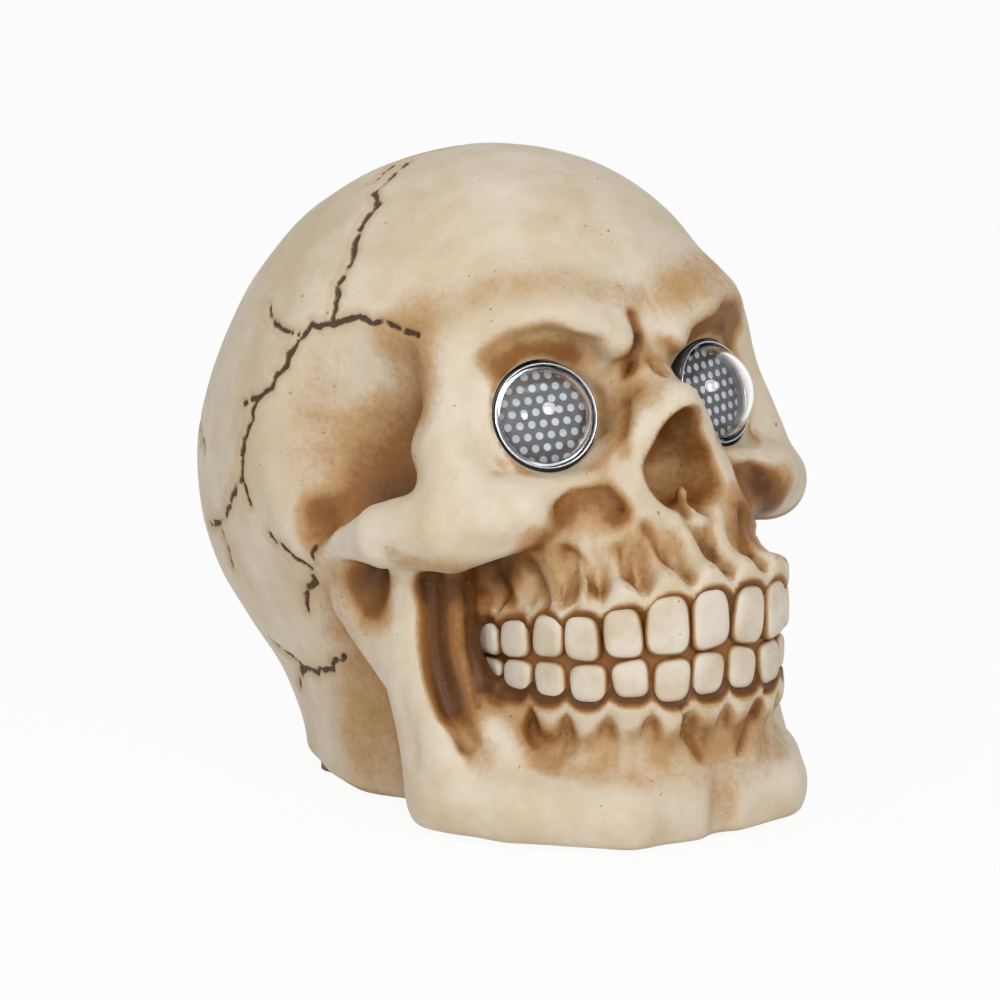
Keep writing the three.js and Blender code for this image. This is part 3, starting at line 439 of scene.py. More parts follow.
lowerRow = {
    "arch": (-30, 26.5, 38.5), "side": -1, "widths": (8, 7.6, 7.8, 8.6, 8.2, 8, 7.4),
    "heights": (8, 8.4, 7, 7.8, 7.2, 6.4, 5.8), "gap": 0.4, "taper": 0.1, "lift": 1.4,
    "rootDepth": 1.0, "name": "lower_teeth", "seed": 9,
}


def eyeMatrix(side):
    place = Vector((side * eyes["x"], eyes["y"], eyes["z"])) + Vector(castingShift)
    outward = eyes["outwardRight"] if side < 0 else eyes["outwardLeft"]
    tilt, swing = radians(90 - eyes["upward"]), radians(side * outward)
    return Matrix.Translation(place * mm) @ Euler((tilt, 0, swing)).to_matrix().to_4x4()


def beadOnEye(distance, radius, lift=0.0):
    axis = Euler((radians(90 - eyes["upward"]), 0, radians(eyes["outward"]))).to_matrix().col[2]
    spot = Vector((eyes["x"], eyes["y"], eyes["z"] + lift)) + axis * distance
    return (*spot, radius)


def biteAt(y):
    return bite["z"] - bite["slope"] * (y - bite["front"])


def archPoint(arch, turn):
    y, halfWidth, length = arch
    power = 2 / bite["power"]
    wide, deep = sin(turn), cos(turn)
    return halfWidth * abs(wide) ** power, y - length * abs(deep) ** power * (1 if deep > 0 else -1)


def alongArch(arch, distance):  # place and heading at a distance from the middle, measured along the arch
    walked, before = 0.0, archPoint(arch, 0)
    for step in range(1, bite["archSteps"] + 1):
        here = archPoint(arch, step / bite["archSteps"] * pi * bite["archShare"])
        stride = hypot(here[0] - before[0], here[1] - before[1])
        if walked + stride >= distance:
            return here[0], here[1], atan2(here[1] - before[1], here[0] - before[0])
        walked += stride
        before = here
    return before[0], before[1], pi / 2


# Distances to simple solids, and how they run together; p holds one point a row
def ball(p, shape):
    d = p - np.array(shape[:3])
    radii = np.array(shape[3:])
    near = np.sqrt(((d / radii) ** 2).sum(1))
    steep = np.sqrt(((d / radii ** 2) ** 2).sum(1))
    return near * (near - 1) / np.maximum(steep, 1e-9)


def strut(p, a, b):
    start, way = np.array(a[:3]), np.array(b[:3]) - np.array(a[:3])
    d = p - start
    t = np.clip(d @ way / max(way @ way, 1e-9), 0, 1)
    away = d - t[:, None] * way
    return np.sqrt((away * away).sum(1)) - (a[3] + t * (b[3] - a[3]))


def chain(p, beads):
    nearest = strut(p, beads[0], beads[1])
    for a, b in zip(beads[1:], beads[2:]):
        nearest = np.minimum(nearest, strut(p, a, b))
    return nearest


def column(p, y, a, b, power):
    u, v = np.abs(p[:, 0]) / a, np.abs(p[:, 1] - y) / b
    near = (u ** power + v ** power) ** (1 / power)
    steep = np.hypot(u ** (power - 1) / a, v ** (power - 1) / b) / np.maximum(near, 1e-6) ** (power - 1)
    return np.where(steep < 1e-6, -min(a, b), (near - 1) / np.maximum(steep, 1e-6))


def drum(p, y, halfWidth, length, low, high, rim, power=2.0):
    side = column(p, y, halfWidth - rim, length - rim, power)
    end = np.abs(p[:, 2] - (low + high) / 2) - (high - low) / 2 + rim
    outer = np.hypot(np.maximum(side, 0), np.maximum(end, 0))
    return np.minimum(np.maximum(side, end), 0) + outer - rim


def merge(a, b, blend):
    h = np.maximum(blend - np.abs(a - b), 0) / blend
    return np.minimum(a, b) - h * h * blend / 4


def carve(a, b, blend):
    return -merge(-a, b, blend)


def ramp(values, low, high):
    t = np.clip((values - low) / (high - low), 0, 1)
    return t * t * (3 - 2 * t)


def mirrored(points):
    return np.column_stack([np.abs(points[:, 0]), points[:, 1:]])


# Gums: a collar round each row of teeth, its edge scalloped over every tooth, and grooves between the roots
gums = {
    "proud": 0.3, "dip": 2.0, "scallop": 1.5, "tall": 4.5, "edge": 1.4, "rootStart": (1.0, 4.0),
    "rootTop": 13.0, "rootFade": 0.55, "rootSharp": 1.3, "rootReach": (-16, -10), "lastTooth": 0.1,
}


def archTurns(row):
    turns, start = [0.0], 0.0
    for width in row["widths"]:
        start += width
        x, y, _ = alongArch(row["arch"], start)
        turns.append(atan2(x, row["arch"][0] - y))
    return turns


upperRow["turns"] = archTurns(upperRow)
lowerRow["turns"] = archTurns(lowerRow)


def toothNumber(p, row):  # 0 at the middle, 1 past the first tooth, and so on
    turn = np.arctan2(p[:, 0], row["arch"][0] - p[:, 1])
    return np.interp(turn, row["turns"], range(len(row["turns"])))


def gumEdge(number, row):  # how far the scalloped edge stands from the bite
    heights = np.interp(number - 0.5, range(len(row["heights"])), row["heights"])
    return heights + row["lift"] - gums["dip"] * (1 - np.sin(pi * (number % 1))) ** gums["scallop"]


def collar(p, row, number):
    y, halfWidth, length = row["arch"]
    proud = gums["proud"]
    side = column(p, y, halfWidth + proud, length + proud, bite["power"])
    height = (p[:, 2] - biteAt(p[:, 1])) * row["side"]
    edge = gumEdge(number, row)
    body = -merge(-side, height - edge, gums["edge"])
    return -merge(-body, edge + gums["tall"] - height, 2 * gums["edge"])


def rootGrooves(p, row, number):
    y, halfWidth, length = row["arch"]
    height = (p[:, 2] - biteAt(p[:, 1])) * row["side"] - gumEdge(number, row)
    fade = 1 - ramp(height, gums["rootTop"] * gums["rootFade"], gums["rootTop"])
    window = ramp(height, *gums["rootStart"]) * fade
    groove = (0.5 + 0.5 * np.cos(2 * pi * number)) ** gums["rootSharp"]
    reach = column(p, y, halfWidth, length, bite["power"])
    outside = ramp(reach, *gums["rootReach"]) * (number < len(row["widths"]) - gums["lastTooth"])
    return row["rootDepth"] * window * groove * outside


# The bones that are added or cut in turn, and how softly each runs into the rest
stages = {
    "cranium": [(merge, "forehead", "broad"), (merge, "occiput", "broad")],
    "face": [(carve, "temple", "broad"), (merge, "maxilla", "soft"), (merge, "alveolus", "soft"),
             (merge, "brow", "broad"), (merge, "nasalRoot", "soft")],
    "sides": [(merge, "earRoot", "soft"), (merge, "nasalSide", "firm")],
    "jaw": [(carve, "jawNotch", "crisp"), (merge, "throat", "firm")],
    "cheek": [(carve, "underCheek", "crisp"), (merge, "cheekMuscle", "firm"), (carve, "mouthCorner", "crisp"),
              (merge, "cheek", "firm"), (merge, "orbitSide", "firm"), (merge, "orbitFloor", "firm"),
              (carve, "templeEdge", "crisp")],
    "hollows": [(carve, "orbitInner", "firm"), (carve, "underBrow", "crisp"), (carve, "underEye", "crisp"),
                (carve, "frown", "sharp"), (merge, "nasalRim", "crisp")],
    "last": [(merge, "noseSpine", "crisp"), (carve, "ear", "firm"), (carve, "chinCleft", "crisp")],
}


def boneForm(p, name):  # a list is a chain of beads, a tuple one ball
    shape = bones[name]
    return chain(p, shape) if isinstance(shape, list) else ball(p, shape)


def inTurn(d, p, stage):
    for change, name, blend in stages[stage]:
        d = change(d, boneForm(p, name), runTogether[blend])
    return d


def noseForm(p):
    return merge(boneForm(p, "noseWide"), boneForm(p, "noseTop"), runTogether["crisp"])


def jawForm(p, top):
    y, halfWidth, length = lowerRow["arch"]
    inset, firm = bones["gumInset"], runTogether["firm"]
    low = -bones["neck"]["skirt"]
    jaw = drum(p, y, halfWidth - inset / 2, length - inset, low, top, bones["rim"], bite["power"])
    jaw = merge(jaw, boneForm(p, "jawBody"), firm)
    for plate, middle in ((bones["coronoid"], 0), (bones["ramus"], 1)):
        flat = p.copy()
        flat[:, 0] = plate[middle][0] + (p[:, 0] - plate[middle][0]) * bones["ramusFlatness"]
        jaw = merge(jaw, chain(flat, plate), firm)
    return inTurn(jaw, p, "jaw")


def skullField(points):
    p = mirrored(points)
    run, rim, inset = runTogether, bones["rim"], bones["gumInset"]
    neck = bones["neck"]
    d = inTurn(boneForm(p, "vault"), p, "cranium")
    stub = drum(p, neck["y"], neck["halfWidth"], neck["length"], -neck["skirt"], neck["top"], rim)
    taper = radians(neck["taper"])
    flank = p[:, 0] * cos(taper) + p[:, 1] * sin(taper) - neck["taperReach"]
    d = merge(d, -merge(-stub, -flank, run["firm"]), run["wide"])
    d = inTurn(d, p, "face")
    boss, back = eyes["radius"] + eyes["bossWall"], -eyes["depth"] - eyes["bossBack"]
    d = merge(d, strut(p, beadOnEye(back, boss), beadOnEye(eyes["bossFront"], boss)), run["firm"])
    d = inTurn(d, p, "sides")
    overBite = p.copy()
    overBite[:, 2] -= biteAt(p[:, 1])
    y, halfWidth, length = lowerRow["arch"]
    low, high = -lowerRow["heights"][0], upperRow["heights"][0]
    bed = drum(overBite, y, halfWidth - inset, length - inset, low, high, rim, bite["power"])
    d = merge(d, bed, run["crisp"])
    d = merge(d, jawForm(p, bite["z"] + low - inset), run["crisp"])
    for row in (upperRow, lowerRow):
        number = toothNumber(p, row)
        d = merge(d, collar(p, row, number), run["firm"]) + rootGrooves(p, row, number)
    d = inTurn(d, p, "cheek")
    inner = beadOnEye(eyes["orbitFrom"], eyes["radius"] + eyes["flare"])
    outer = beadOnEye(eyes["orbitTo"], eyes["radius"] + eyes["flareFar"], eyes["lift"])
    d = carve(d, strut(p, inner, outer), run["crisp"])
    d = inTurn(d, p, "hollows")
    d = carve(d, noseForm(p), run["sharp"])
    d = inTurn(d, p, "last")
    return carve(d, p[:, 2], run["sharp"])


# Sculpt: sample the field on a mirrored grid, skin it with quads, then seat each vertex on the surface
sculpt = {
    "step": 0.86, "quickStep": 1.5, "low": (0, -78, -4), "high": (56, 76, 126), "seatings": 4,
    "probe": 0.15, "leastSlope": 0.2, "strokeWash": 0.32, "brushSpread": 1.6, "washLimit": 1.4,
}


def slope(field, p):
    h = sculpt["probe"]
    sides = [field(p + np.eye(3)[k] * h) - field(p - np.eye(3)[k] * h) for k in range(3)]
    return np.stack(sides, 1) / (2 * h)


def fieldSkin(field, step):
    half = np.arange(step / 2, sculpt["high"][0], step)
    ys, zs = (np.arange(sculpt["low"][k], sculpt["high"][k], step) for k in (1, 2))
    flat = np.stack(np.meshgrid(ys, zs, indexing="ij"), -1).reshape(-1, 2)
    slabs = [field(np.column_stack([np.full(len(flat), x), flat])).reshape(len(ys), len(zs)) for x in half]
    values = np.stack(slabs[::-1] + slabs)
    xs = np.concatenate([-half[::-1], half])
    inside = values < 0
    corners = [(i, j, k) for i in (0, 1) for j in (0, 1) for k in (0, 1)]
    size = np.array(values.shape) - 1
    count = sum(inside[i:i + size[0], j:j + size[1], k:k + size[2]].astype(np.int8) for i, j, k in corners)
    cells = np.argwhere((count > 0) & (count < 8))
    number = np.full(size, -1)
    number[tuple(cells.T)] = np.arange(len(cells))
    total, hits = np.zeros((len(cells), 3)), np.zeros(len(cells))
    for a in corners:
        for axis in range(3):
            if a[axis]:
                continue
            b = tuple(1 if k == axis else a[k] for k in range(3))
            va, vb = values[tuple((cells + a).T)], values[tuple((cells + b).T)]
            crossed = (va < 0) != (vb < 0)
            share = va[crossed] / (va[crossed] - vb[crossed])
            total[crossed] += cells[crossed] + np.array(a) + share[:, None] * (np.array(b) - np.array(a))
            hits[crossed] += 1
    vertices = total / hits[:, None] * step + np.array([xs[0], ys[0], zs[0]])
    quads = []
    for axis in range(3):
        u, v = (axis + 1) % 3, (axis + 2) % 3
        first = np.take(inside, np.arange(size[axis]), axis)
        second = np.take(inside, np.arange(1, size[axis] + 1), axis)
        edges = np.argwhere(first != second)
        within = (edges[:, [u, v]] > 0).all(1) & (edges[:, [u, v]] < size[[u, v]]).all(1)
        edges = edges[within]
        ring = []
        for du, dv in ((1, 1), (0, 1), (0, 0), (1, 0)):
            cell = edges.copy()
            cell[:, u] -= du
            cell[:, v] -= dv
            ring.append(number[tuple(cell.T)])
        faces = np.stack(ring, 1)
        outwards = first[tuple(edges.T)]
        faces[~outwards] = faces[~outwards][:, ::-1]
        quads.append(faces)
    for _ in range(sculpt["seatings"]):
        lean = slope(field, vertices)
        steep = np.maximum((lean * lean).sum(1), sculpt["leastSlope"])
        vertices = vertices - np.clip(field(vertices) / steep, -step, step)[:, None] * lean
    return vertices, np.concatenate(quads)


# Carving: strokes traced on the photograph, as (pixel route, radius, depth); the middle ones aren't mirrored
carving = {
    "upperRoots": [
        ([(486, 594), (488, 603)], 1.7, 0.9), ([(499, 580), (511, 602)], 2.0, 1.0),
        ([(531, 566), (546, 603)], 2.2, 1.1), ([(566, 556), (572, 598)], 3.4, 1.2),
        ([(566, 549), (584, 560), (592, 583), (588, 599)], 1.2, 0.8),
        ([(617, 551), (632, 582)], 2.3, 1.0), ([(647, 526), (672, 568)], 2.0, 1.1),
        ([(683, 502), (688, 520), (711, 557)], 1.9, 0.9), ([(696, 506), (706, 530)], 1.4, 0.4),
    ],
    "lowerRoots": [
        ([(533, 722), (536, 741)], 2.4, 0.4), ([(566, 724), (568, 748)], 2.8, 0.4),
        ([(607, 730), (611, 756)], 3.0, 0.4), ([(652, 724), (656, 758)], 3.2, 0.5),
        ([(698, 716), (704, 748)], 3.6, 0.45),
        ([(684, 708), (683, 731), (703, 761)], 1.3, 1.0),
    ],
    "face": [
        ([(625, 402), (624, 451)], 2.2, 0.7),
        ([(558, 506), (575, 491), (606, 490), (621, 508)], 1.3, 0.8), ([(592, 507), (594, 508)], 2.4, -1.1),
        ([(468, 326), (520, 318), (560, 316), (600, 330), (620, 342)], 5.0, -0.6),
        ([(601, 347), (620, 350)], 3.4, -0.6),
        ([(597, 392), (599, 430)], 2.2, 0.6),
    ],
    "middle": [
        ([(631, 314), (637, 338), (634, 358), (622, 376)], 1.1, 0.9),
        ([(638, 342), (650, 364), (664, 376)], 1.0, 0.7),
        ([(640, 282), (648, 300), (660, 324)], 0.8, 0.15),
    ],
    "cheekbone": [
        ([(470, 545), (500, 548), (530, 530)], 3.0, 0.5), ([(370, 548), (392, 552)], 2.0, 0.4),
    ],
    "jaw": [
        ([(432, 585), (434, 650), (447, 708), (470, 745)], 1.9, 0.5),
        ([(468, 590), (470, 650), (478, 705)], 1.2, 0.6), ([(400, 700), (412, 760)], 3.0, 0.5),
        ([(560, 775), (640, 782)], 4.0, 0.4),
    ],
}
# Painting: brown wash brushed on, a few strokes of painted shade among them, or wiped off below 0, as (pixel
# route, radius in mm, strength)
painting = [
    ([(422, 345), (424, 390), (412, 440), (392, 480)], 10, 0.42), ([(355, 450), (372, 480)], 11, 0.3),
    ([(345, 400), (380, 395)], 9, 0.08), ([(325, 520)], 5, 0.5),
    ([(350, 610), (372, 690), (365, 755)], 10, 0.42),
    ([(378, 585), (380, 612)], 5, 0.5), ([(300, 575)], 10, 0.14), ([(250, 330)], 18, 0.07),
    ([(490, 293), (540, 287), (600, 290), (625, 300)], 4.4, 0.24),
    # brown wash and painted shade in the hollow under the brow
    ([(500, 358), (520, 344), (550, 337)], 5, 0.2),
    # painted shade: a thin dark line along the top of the eye ring
    ([(496, 368), (516, 354), (540, 350), (572, 357)], 2, 0.32),
    ([(575, 346), (596, 372), (599, 440)], 3.4, 0.14),
    ([(646, 394), (655, 398)], 3, 0.24), ([(624, 402), (624, 452)], 3.0, 0.22),
    ([(562, 514), (575, 497), (605, 493), (620, 512)], 2.6, 0.45),
    ([(556, 518), (580, 511), (612, 513)], 3.2, 0.3),
    ([(628, 530), (650, 545)], 6, 0.26), ([(400, 562), (450, 566), (505, 560), (535, 542)], 3.6, 0.4),
    ([(438, 585), (475, 588), (505, 578)], 3.4, 0.5), ([(525, 584), (545, 580)], 4, 0.22),
    ([(433, 590), (434, 650), (446, 704)], 3.6, 0.5), ([(456, 590), (459, 650), (468, 700)], 5, 0.62),
    ([(456, 735), (470, 745)], 3, -0.2),
    ([(520, 700), (535, 740)], 5, 0.12), ([(566, 725), (660, 745)], 7, 0.12),
    ([(700, 715), (750, 730)], 6, 0.14),
    ([(476, 385), (474, 420), (482, 456), (508, 480)], 3.4, -0.45), ([(540, 487), (580, 478)], 3, -0.25),
    ([(452, 350), (450, 400), (458, 450)], 5, -0.2), ([(470, 265)], 18, 0.05), ([(500, 775)], 16, 0.05),
    ([(740, 775)], 9, 0.16), ([(420, 700), (432, 760)], 6, 0.18),
]
singlePainting = [  # not mirrored
    ([(632, 316), (637, 338), (630, 368)], 1.7, 0.55), ([(640, 338), (650, 358), (662, 372)], 1.6, 0.4),
    ([(742, 505), (772, 490)], 6, 0.38), ([(690, 300), (735, 312)], 6, 0.25), ([(785, 470)], 5, 0.2),
]
cracks = [  # traced on the photograph
    [(408, 162), (390, 178), (373, 193), (378, 204), (366, 217), (356, 236), (353, 251), (349, 264),
     (342, 278), (334, 303), (332, 325)],
    [(332, 325), (347, 319), (364, 319), (375, 323), (390, 325), (408, 332), (417, 335)],
    [(332, 325), (321, 325), (310, 324), (304, 334), (293, 349), (286, 366), (275, 375), (271, 388),
     (256, 399), (243, 403)],
    [(254, 403), (247, 427), (241, 453), (240, 476), (231, 494), (226, 512), (216, 524), (207, 526)],
    [(240, 476), (244, 490), (248, 504)], [(218, 524), (227, 547), (232, 565)],
    [(268, 307), (273, 323), (284, 330), (297, 334)],
    [(269, 535), (282, 547), (295, 560), (310, 570), (315, 583), (305, 598), (306, 611)],
    [(314, 547), (311, 560)],
    [(234, 600), (251, 624), (272, 642), (285, 654), (300, 665), (302, 671), (299, 688)],
    [(302, 670), (325, 670), (343, 657)],
]
farCracks = [  # millimetres on the casting: the sides that the photograph doesn't show
    [(-24, 10, 118), (-12, 12, 120), (-2, 9, 121), (8, 12, 120), (18, 8, 118), (28, 10, 112), (35, 6, 105)],
    [(35, 6, 105), (40, 9, 98), (43, 4, 92), (46, 8, 85), (47, 3, 78)],
    [(46, 8, 85), (47, 18, 82), (46, 26, 84)],
    [(-46, 36, 62), (-38, 48, 66), (-28, 56, 72), (-16, 61, 76), (-4, 64, 82), (8, 63, 78), (18, 61, 74),
     (30, 54, 70), (40, 44, 64)],
    [(-4, 64, 82), (-2, 62, 92), (4, 56, 100)], [(18, 61, 74), (20, 62, 64), (26, 60, 56)],
]
crackCut = {
    "radius": 1.25, "depth": 0.75, "fineBand": 2.2, "reach": 8.0, "far": 20.0,
    "seed": 40, "stride": 1.3, "jag": 0.42,
}


def netTree(vertices, faces):
    return BVHTree.FromPolygons([Vector(v) for v in vertices.tolist()], faces.tolist())


def onSkull(tree, pixel):
    start, way = pixelRay(*pixel)
    hit = tree.ray_cast(start - Vector(castingShift), way)[0]
    return None if hit is None else np.array(hit)


def routeOnSkull(tree, pixels):
    hits = [onSkull(tree, pixel) for pixel in pixels]
    return [hit for hit in hits if hit is not None]


def routeNear(tree, spots):
    return [np.array(tree.find_nearest(Vector(spot))[0]) for spot in spots]


def routeDistance(points, route, reach):
    away = np.full(len(points), np.inf)
    ends = np.array(route)
    close = ((points > ends.min(0) - reach) & (points < ends.max(0) + reach)).all(1)
    near = points[close]
    best = np.full(len(near), np.inf)
    pairs = list(zip(route, route[1:])) or [(route[0], route[0])]
    for a, b in pairs:
        best = np.minimum(best, strut(near, (*a, 0), (*b, 0)))
    away[close] = best
    return away


def swell(away, radius):
    t = np.clip(away / radius, 0, 1)
    return (1 - t * t) ** 2


def strokeRoutes(tree, pixels, bothSides):
    route = routeOnSkull(tree, pixels)
    sides = (1, -1) if bothSides else (1,)
    return [[spot * np.array([side, 1, 1]) for spot in route] for side in sides if route]


def sculptSkull():
    step = sculpt["step"]
    vertices, faces = fieldSkin(skullField, step)
    tree = netTree(vertices, faces)
    skull = meshPiece("skull", ((vertices + castingShift) * mm).tolist(), [], faces.tolist())
    routes = [routeOnSkull(tree, pixels) for pixels in cracks]
    routes += [routeNear(tree, spots) for spots in farCracks]
    routes = [jagged(route, n) for n, route in enumerate(routes) if len(route) > 1]
    refineNear(skull, routes)
    p = readVectors(skull.data.vertices, "co") / mm - castingShift
    normal = readVectors(skull.data.vertices, "normal")
    offset, washAndShade = np.zeros(len(p)), np.zeros(len(p))
    for name, group in carving.items():
        for pixels, radius, depth in group:
            for route in strokeRoutes(tree, pixels, name != "middle"):
                press = swell(routeDistance(p, route, radius), radius) * depth
                offset -= press
                washAndShade += np.maximum(press, 0) * sculpt["strokeWash"]
    away = np.full(len(p), crackCut["far"])
    for route in routes:
        away = np.minimum(away, routeDistance(p, route, crackCut["reach"]))
    offset -= swell(away, crackCut["radius"]) * crackCut["depth"]
    for strokes, bothSides in ((painting, True), (singlePainting, False)):
        for pixels, radius, strength in strokes:
            reach = radius * sculpt["brushSpread"]
            for route in strokeRoutes(tree, pixels, bothSides):
                washAndShade += swell(routeDistance(p, route, reach), reach) * strength
    # brown wash with painted shade: the hollows and the gum lines darken the surface here
    washAndShade += hollowness(p, normal) + groutWashAndShade(p) + noseWash(p)
    offset += unevenness(p) + groutFill(p)
    p = p + normal * offset[:, None]
    flat = ((p + castingShift) * mm).astype(np.float32).ravel()
    skull.data.vertices.foreach_set("co", flat)
    setAttribute(skull.data, "washAndShade", np.clip(washAndShade, 0, sculpt["washLimit"]))
    setAttribute(skull.data, "crack", away)
    skull.data.update()
    print("skull sculpted:", len(skull.data.vertices), "vertices")
    return skull


def jagged(route, number):  # fine side steps along a crack
    draw = np.random.default_rng(crackCut["seed"] + number)
    made = [route[0]]
    for a, b in zip(route, route[1:]):
        pieces = max(2, int(np.linalg.norm(b - a) / crackCut["stride"]))
        for n in range(1, pieces):
            made.append(a + (b - a) * n / pieces + draw.normal(0, crackCut["jag"], 3))
        made.append(b)
    return made


def refineNear(piece, routes):
    mesh = piece.data
    p = readVectors(mesh.polygons, "center") / mm - castingShift
    away = np.full(len(p), np.inf)
    for route in routes:
        away = np.minimum(away, routeDistance(p, route, crackCut["fineBand"]))
    pickOnly(piece)
    bpy.ops.object.mode_set(mode="EDIT")
    bpy.ops.mesh.select_mode(type="FACE")
    bpy.ops.mesh.select_all(action="DESELECT")
    bpy.ops.object.mode_set(mode="OBJECT")
    mesh.polygons.foreach_set("select", away < crackCut["fineBand"])
    bpy.ops.object.mode_set(mode="EDIT")
    bpy.ops.mesh.subdivide(number_cuts=1)
    bpy.ops.object.mode_set(mode="OBJECT")


# How deep a spot lies in a hollow, from how slowly the field grows above it; this darkens the hollows as
# brown wash and painted shade; probes are (height, weight)
hollows = {"probes": ((1.6, 0.24), (4.0, 0.42), (9.0, 0.4)), "least": -0.15, "most": 1.2}


def hollowness(p, normal):
    total = np.zeros(len(p))
    for height, weight in hollows["probes"]:
        closed = 1 - skullField(p + normal * height) / height
        total += weight * np.clip(closed, hollows["least"], hollows["most"])
    return total


# Grout between the teeth: brown, darkest along the gums where painted shade lines run, and almost as proud as
# the teeth
grout = {
    "fill": 0.45, "fillEdge": (0.2, 1.2), "stain": 0.7, "stainEdge": (-0.9, 0.9), "line": 2.0,
    "upperShadeLine": 0.25, "lowerShadeLine": 0.32, "lowerShift": 0.3, "proud": 1, "low": -10, "high": 90,
    "fade": (3.0, 6.0),
}


def groutBand(p):  # how far inside each gum edge a spot lies, and how near the arch
    q = mirrored(p)
    overBite = p[:, 2] - biteAt(p[:, 1])
    top = gumEdge(toothNumber(q, upperRow), upperRow) - overBite
    bottom = gumEdge(toothNumber(q, lowerRow), lowerRow) + overBite
    y, halfWidth, length = upperRow["arch"]
    proud = grout["proud"]
    ring = drum(q, y, halfWidth + proud, length + proud, grout["low"], grout["high"], proud, bite["power"])
    return top, bottom, 1 - ramp(np.abs(ring), *grout["fade"])


def groutWashAndShade(p):
    top, bottom, near = groutBand(p)
    between = ramp(np.minimum(top, bottom), *grout["stainEdge"]) * grout["stain"]
    # painted shade: dark lines along the upper and lower gum edges, where the teeth meet the gums
    shadeLines = swell(np.abs(top), grout["line"]) * grout["upperShadeLine"]
    shadeLines += swell(np.abs(bottom - grout["lowerShift"]), grout["line"]) * grout["lowerShadeLine"]
    return (between + shadeLines) * near


def groutFill(p):
    top, bottom, near = groutBand(p)
    return ramp(np.minimum(top, bottom), *grout["fillEdge"]) * near * grout["fill"]


noseStain = {"strength": 0.46, "edge": (-0.2, 1.4), "depth": (-60, -53)}


def noseWash(p):  # the nose is dark all the way in
    inside = 1 - ramp(noseForm(mirrored(p)), *noseStain["edge"])
    return noseStain["strength"] * inside * ramp(p[:, 1], *noseStain["depth"])


# Slight lumps and dips left by hand modelling
lumps = {"count": 14, "shortest": 10.0, "longest": 30.0, "height": 0.15, "seed": 11}


def unevenness(p):
    draw = np.random.default_rng(lumps["seed"])
    total = np.zeros(len(p))
    for _ in range(lumps["count"]):
        way = draw.normal(0, 1, 3)
        way *= 2 * pi / draw.uniform(lumps["shortest"], lumps["longest"]) / np.linalg.norm(way)
        total += np.sin(p @ way + draw.uniform(0, 2 * pi))
    return total * lumps["height"] / lumps["count"] ** 0.5


# Cutters for the seats of the eye cups, the battery box, the wire ways and the hollow inside
casting = {
    "clear": 0.2, "overlap": 2, "cavity": (0, 16, 68, 33, 38, 36), "cavityMesh": (48, 24),
    "flangeSide": 3, "flangeEnd": 7, "flange": 3, "shaft": 10, "shaftY": 18.5, "shaftSides": 48,
    "boreTop": 20, "boreSides": 96, "channel": 3.2, "channelLength": 24, "channelTop": 1, "channelSides": 24,
    "washAndShade": 0.6,
}


def unite(target, other):
    applyModifier(target, "BOOLEAN", object=other, operation="UNION", solver="EXACT")
    bpy.data.objects.remove(other)


def boxCutter(across, along, y, low, high):
    bpy.ops.mesh.primitive_cube_add(size=1, location=(0, y, (low + high) / 2))
    made = bpy.context.object
    made.scale = (across, along, high - low)
    bpy.ops.object.transform_apply(location=True, rotation=False, scale=True)
    return made


def barCutter(radius, low, high, sides, place):
    middle = (0, 0, (low + high) / 2 * mm)
    bpy.ops.mesh.primitive_cylinder_add(vertices=sides, radius=radius * mm, depth=(high - low) * mm,
                                        location=middle)
    return carryPlace(bpy.context.object, place)


def hollowCutter():
    low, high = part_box("battery_box")
    middle, clear = (low + high) / 2, casting["clear"] * mm
    foot = castingShift[2] * mm
    across, along = high.x - low.x + 2 * clear, high.y - low.y + 2 * clear
    flangeTop = foot + casting["flange"] * mm + clear
    cutter = boxCutter(across, along, middle.y, foot - casting["overlap"] * mm, flangeTop)
    across -= 2 * casting["flangeSide"] * mm
    along -= 2 * casting["flangeEnd"] * mm
    unite(cutter, boxCutter(across, along, middle.y, foot, high.z + clear))
    x, y, z, width, depth, height = casting["cavity"]
    centre = Vector((x, y, z)) + Vector(castingShift)
    upright = Matrix.Translation((0, (casting["shaftY"] + castingShift[1]) * mm, 0))
    shaftFoot = high.z / mm - casting["overlap"]
    unite(cutter, barCutter(casting["shaft"], shaftFoot, centre.z, casting["shaftSides"], upright))
    segments, rings = casting["cavityMesh"]
    bpy.ops.mesh.primitive_uv_sphere_add(segments=segments, ring_count=rings, radius=1, location=centre * mm)
    hollow = bpy.context.object
    hollow.scale = Vector((width, depth, height)) * mm
    bpy.ops.object.transform_apply(location=True, rotation=False, scale=True)
    unite(cutter, hollow)
    seat, slack = -eyes["depth"], casting["clear"]
    bore = (eyes["radius"] + slack, seat - slack, casting["boreTop"], casting["boreSides"])
    top = seat + casting["channelTop"]
    channel = (casting["channel"], seat - casting["channelLength"], top, casting["channelSides"])
    for side in (-1, 1):
        for bar in (bore, channel):
            unite(cutter, barCutter(*bar, eyeMatrix(side)))
    corners = len(cutter.data.vertices)
    setAttribute(cutter.data, "washAndShade", np.full(corners, casting["washAndShade"]))
    setAttribute(cutter.data, "crack", np.full(corners, crackCut["far"]))
    return cutter


# Teeth: a finely cut block pressed to a rounded outline, its flat face bevelled, with its own lean and wear
toothShape = {
    "depth": 6.0, "cuts": 13, "outline": 3.8, "bevel": 0.9, "flat": 0.74, "flatEnd": 1.25,
    "lean": 3.0, "uneven": 0.7, "skew": 0.35, "chip": 0.3, "bulgeAcross": 0.2, "bulgeUp": 0.3, "bulgeAt": 0.9,
    "edgeStains": ((0.86, 0.96, 0.42), (0.94, 1, 0.4)), "backStain": (0.05, 0.2, 0.5), "stainLimit": 1.1,
    "heightShare": (0.94, 1.03), "widthShare": (0.93, 1.02), "trim": 0.1, "gumSide": 0.5,
}


def stain(values, low, high, strength):
    return ramp(values, low, high) * strength


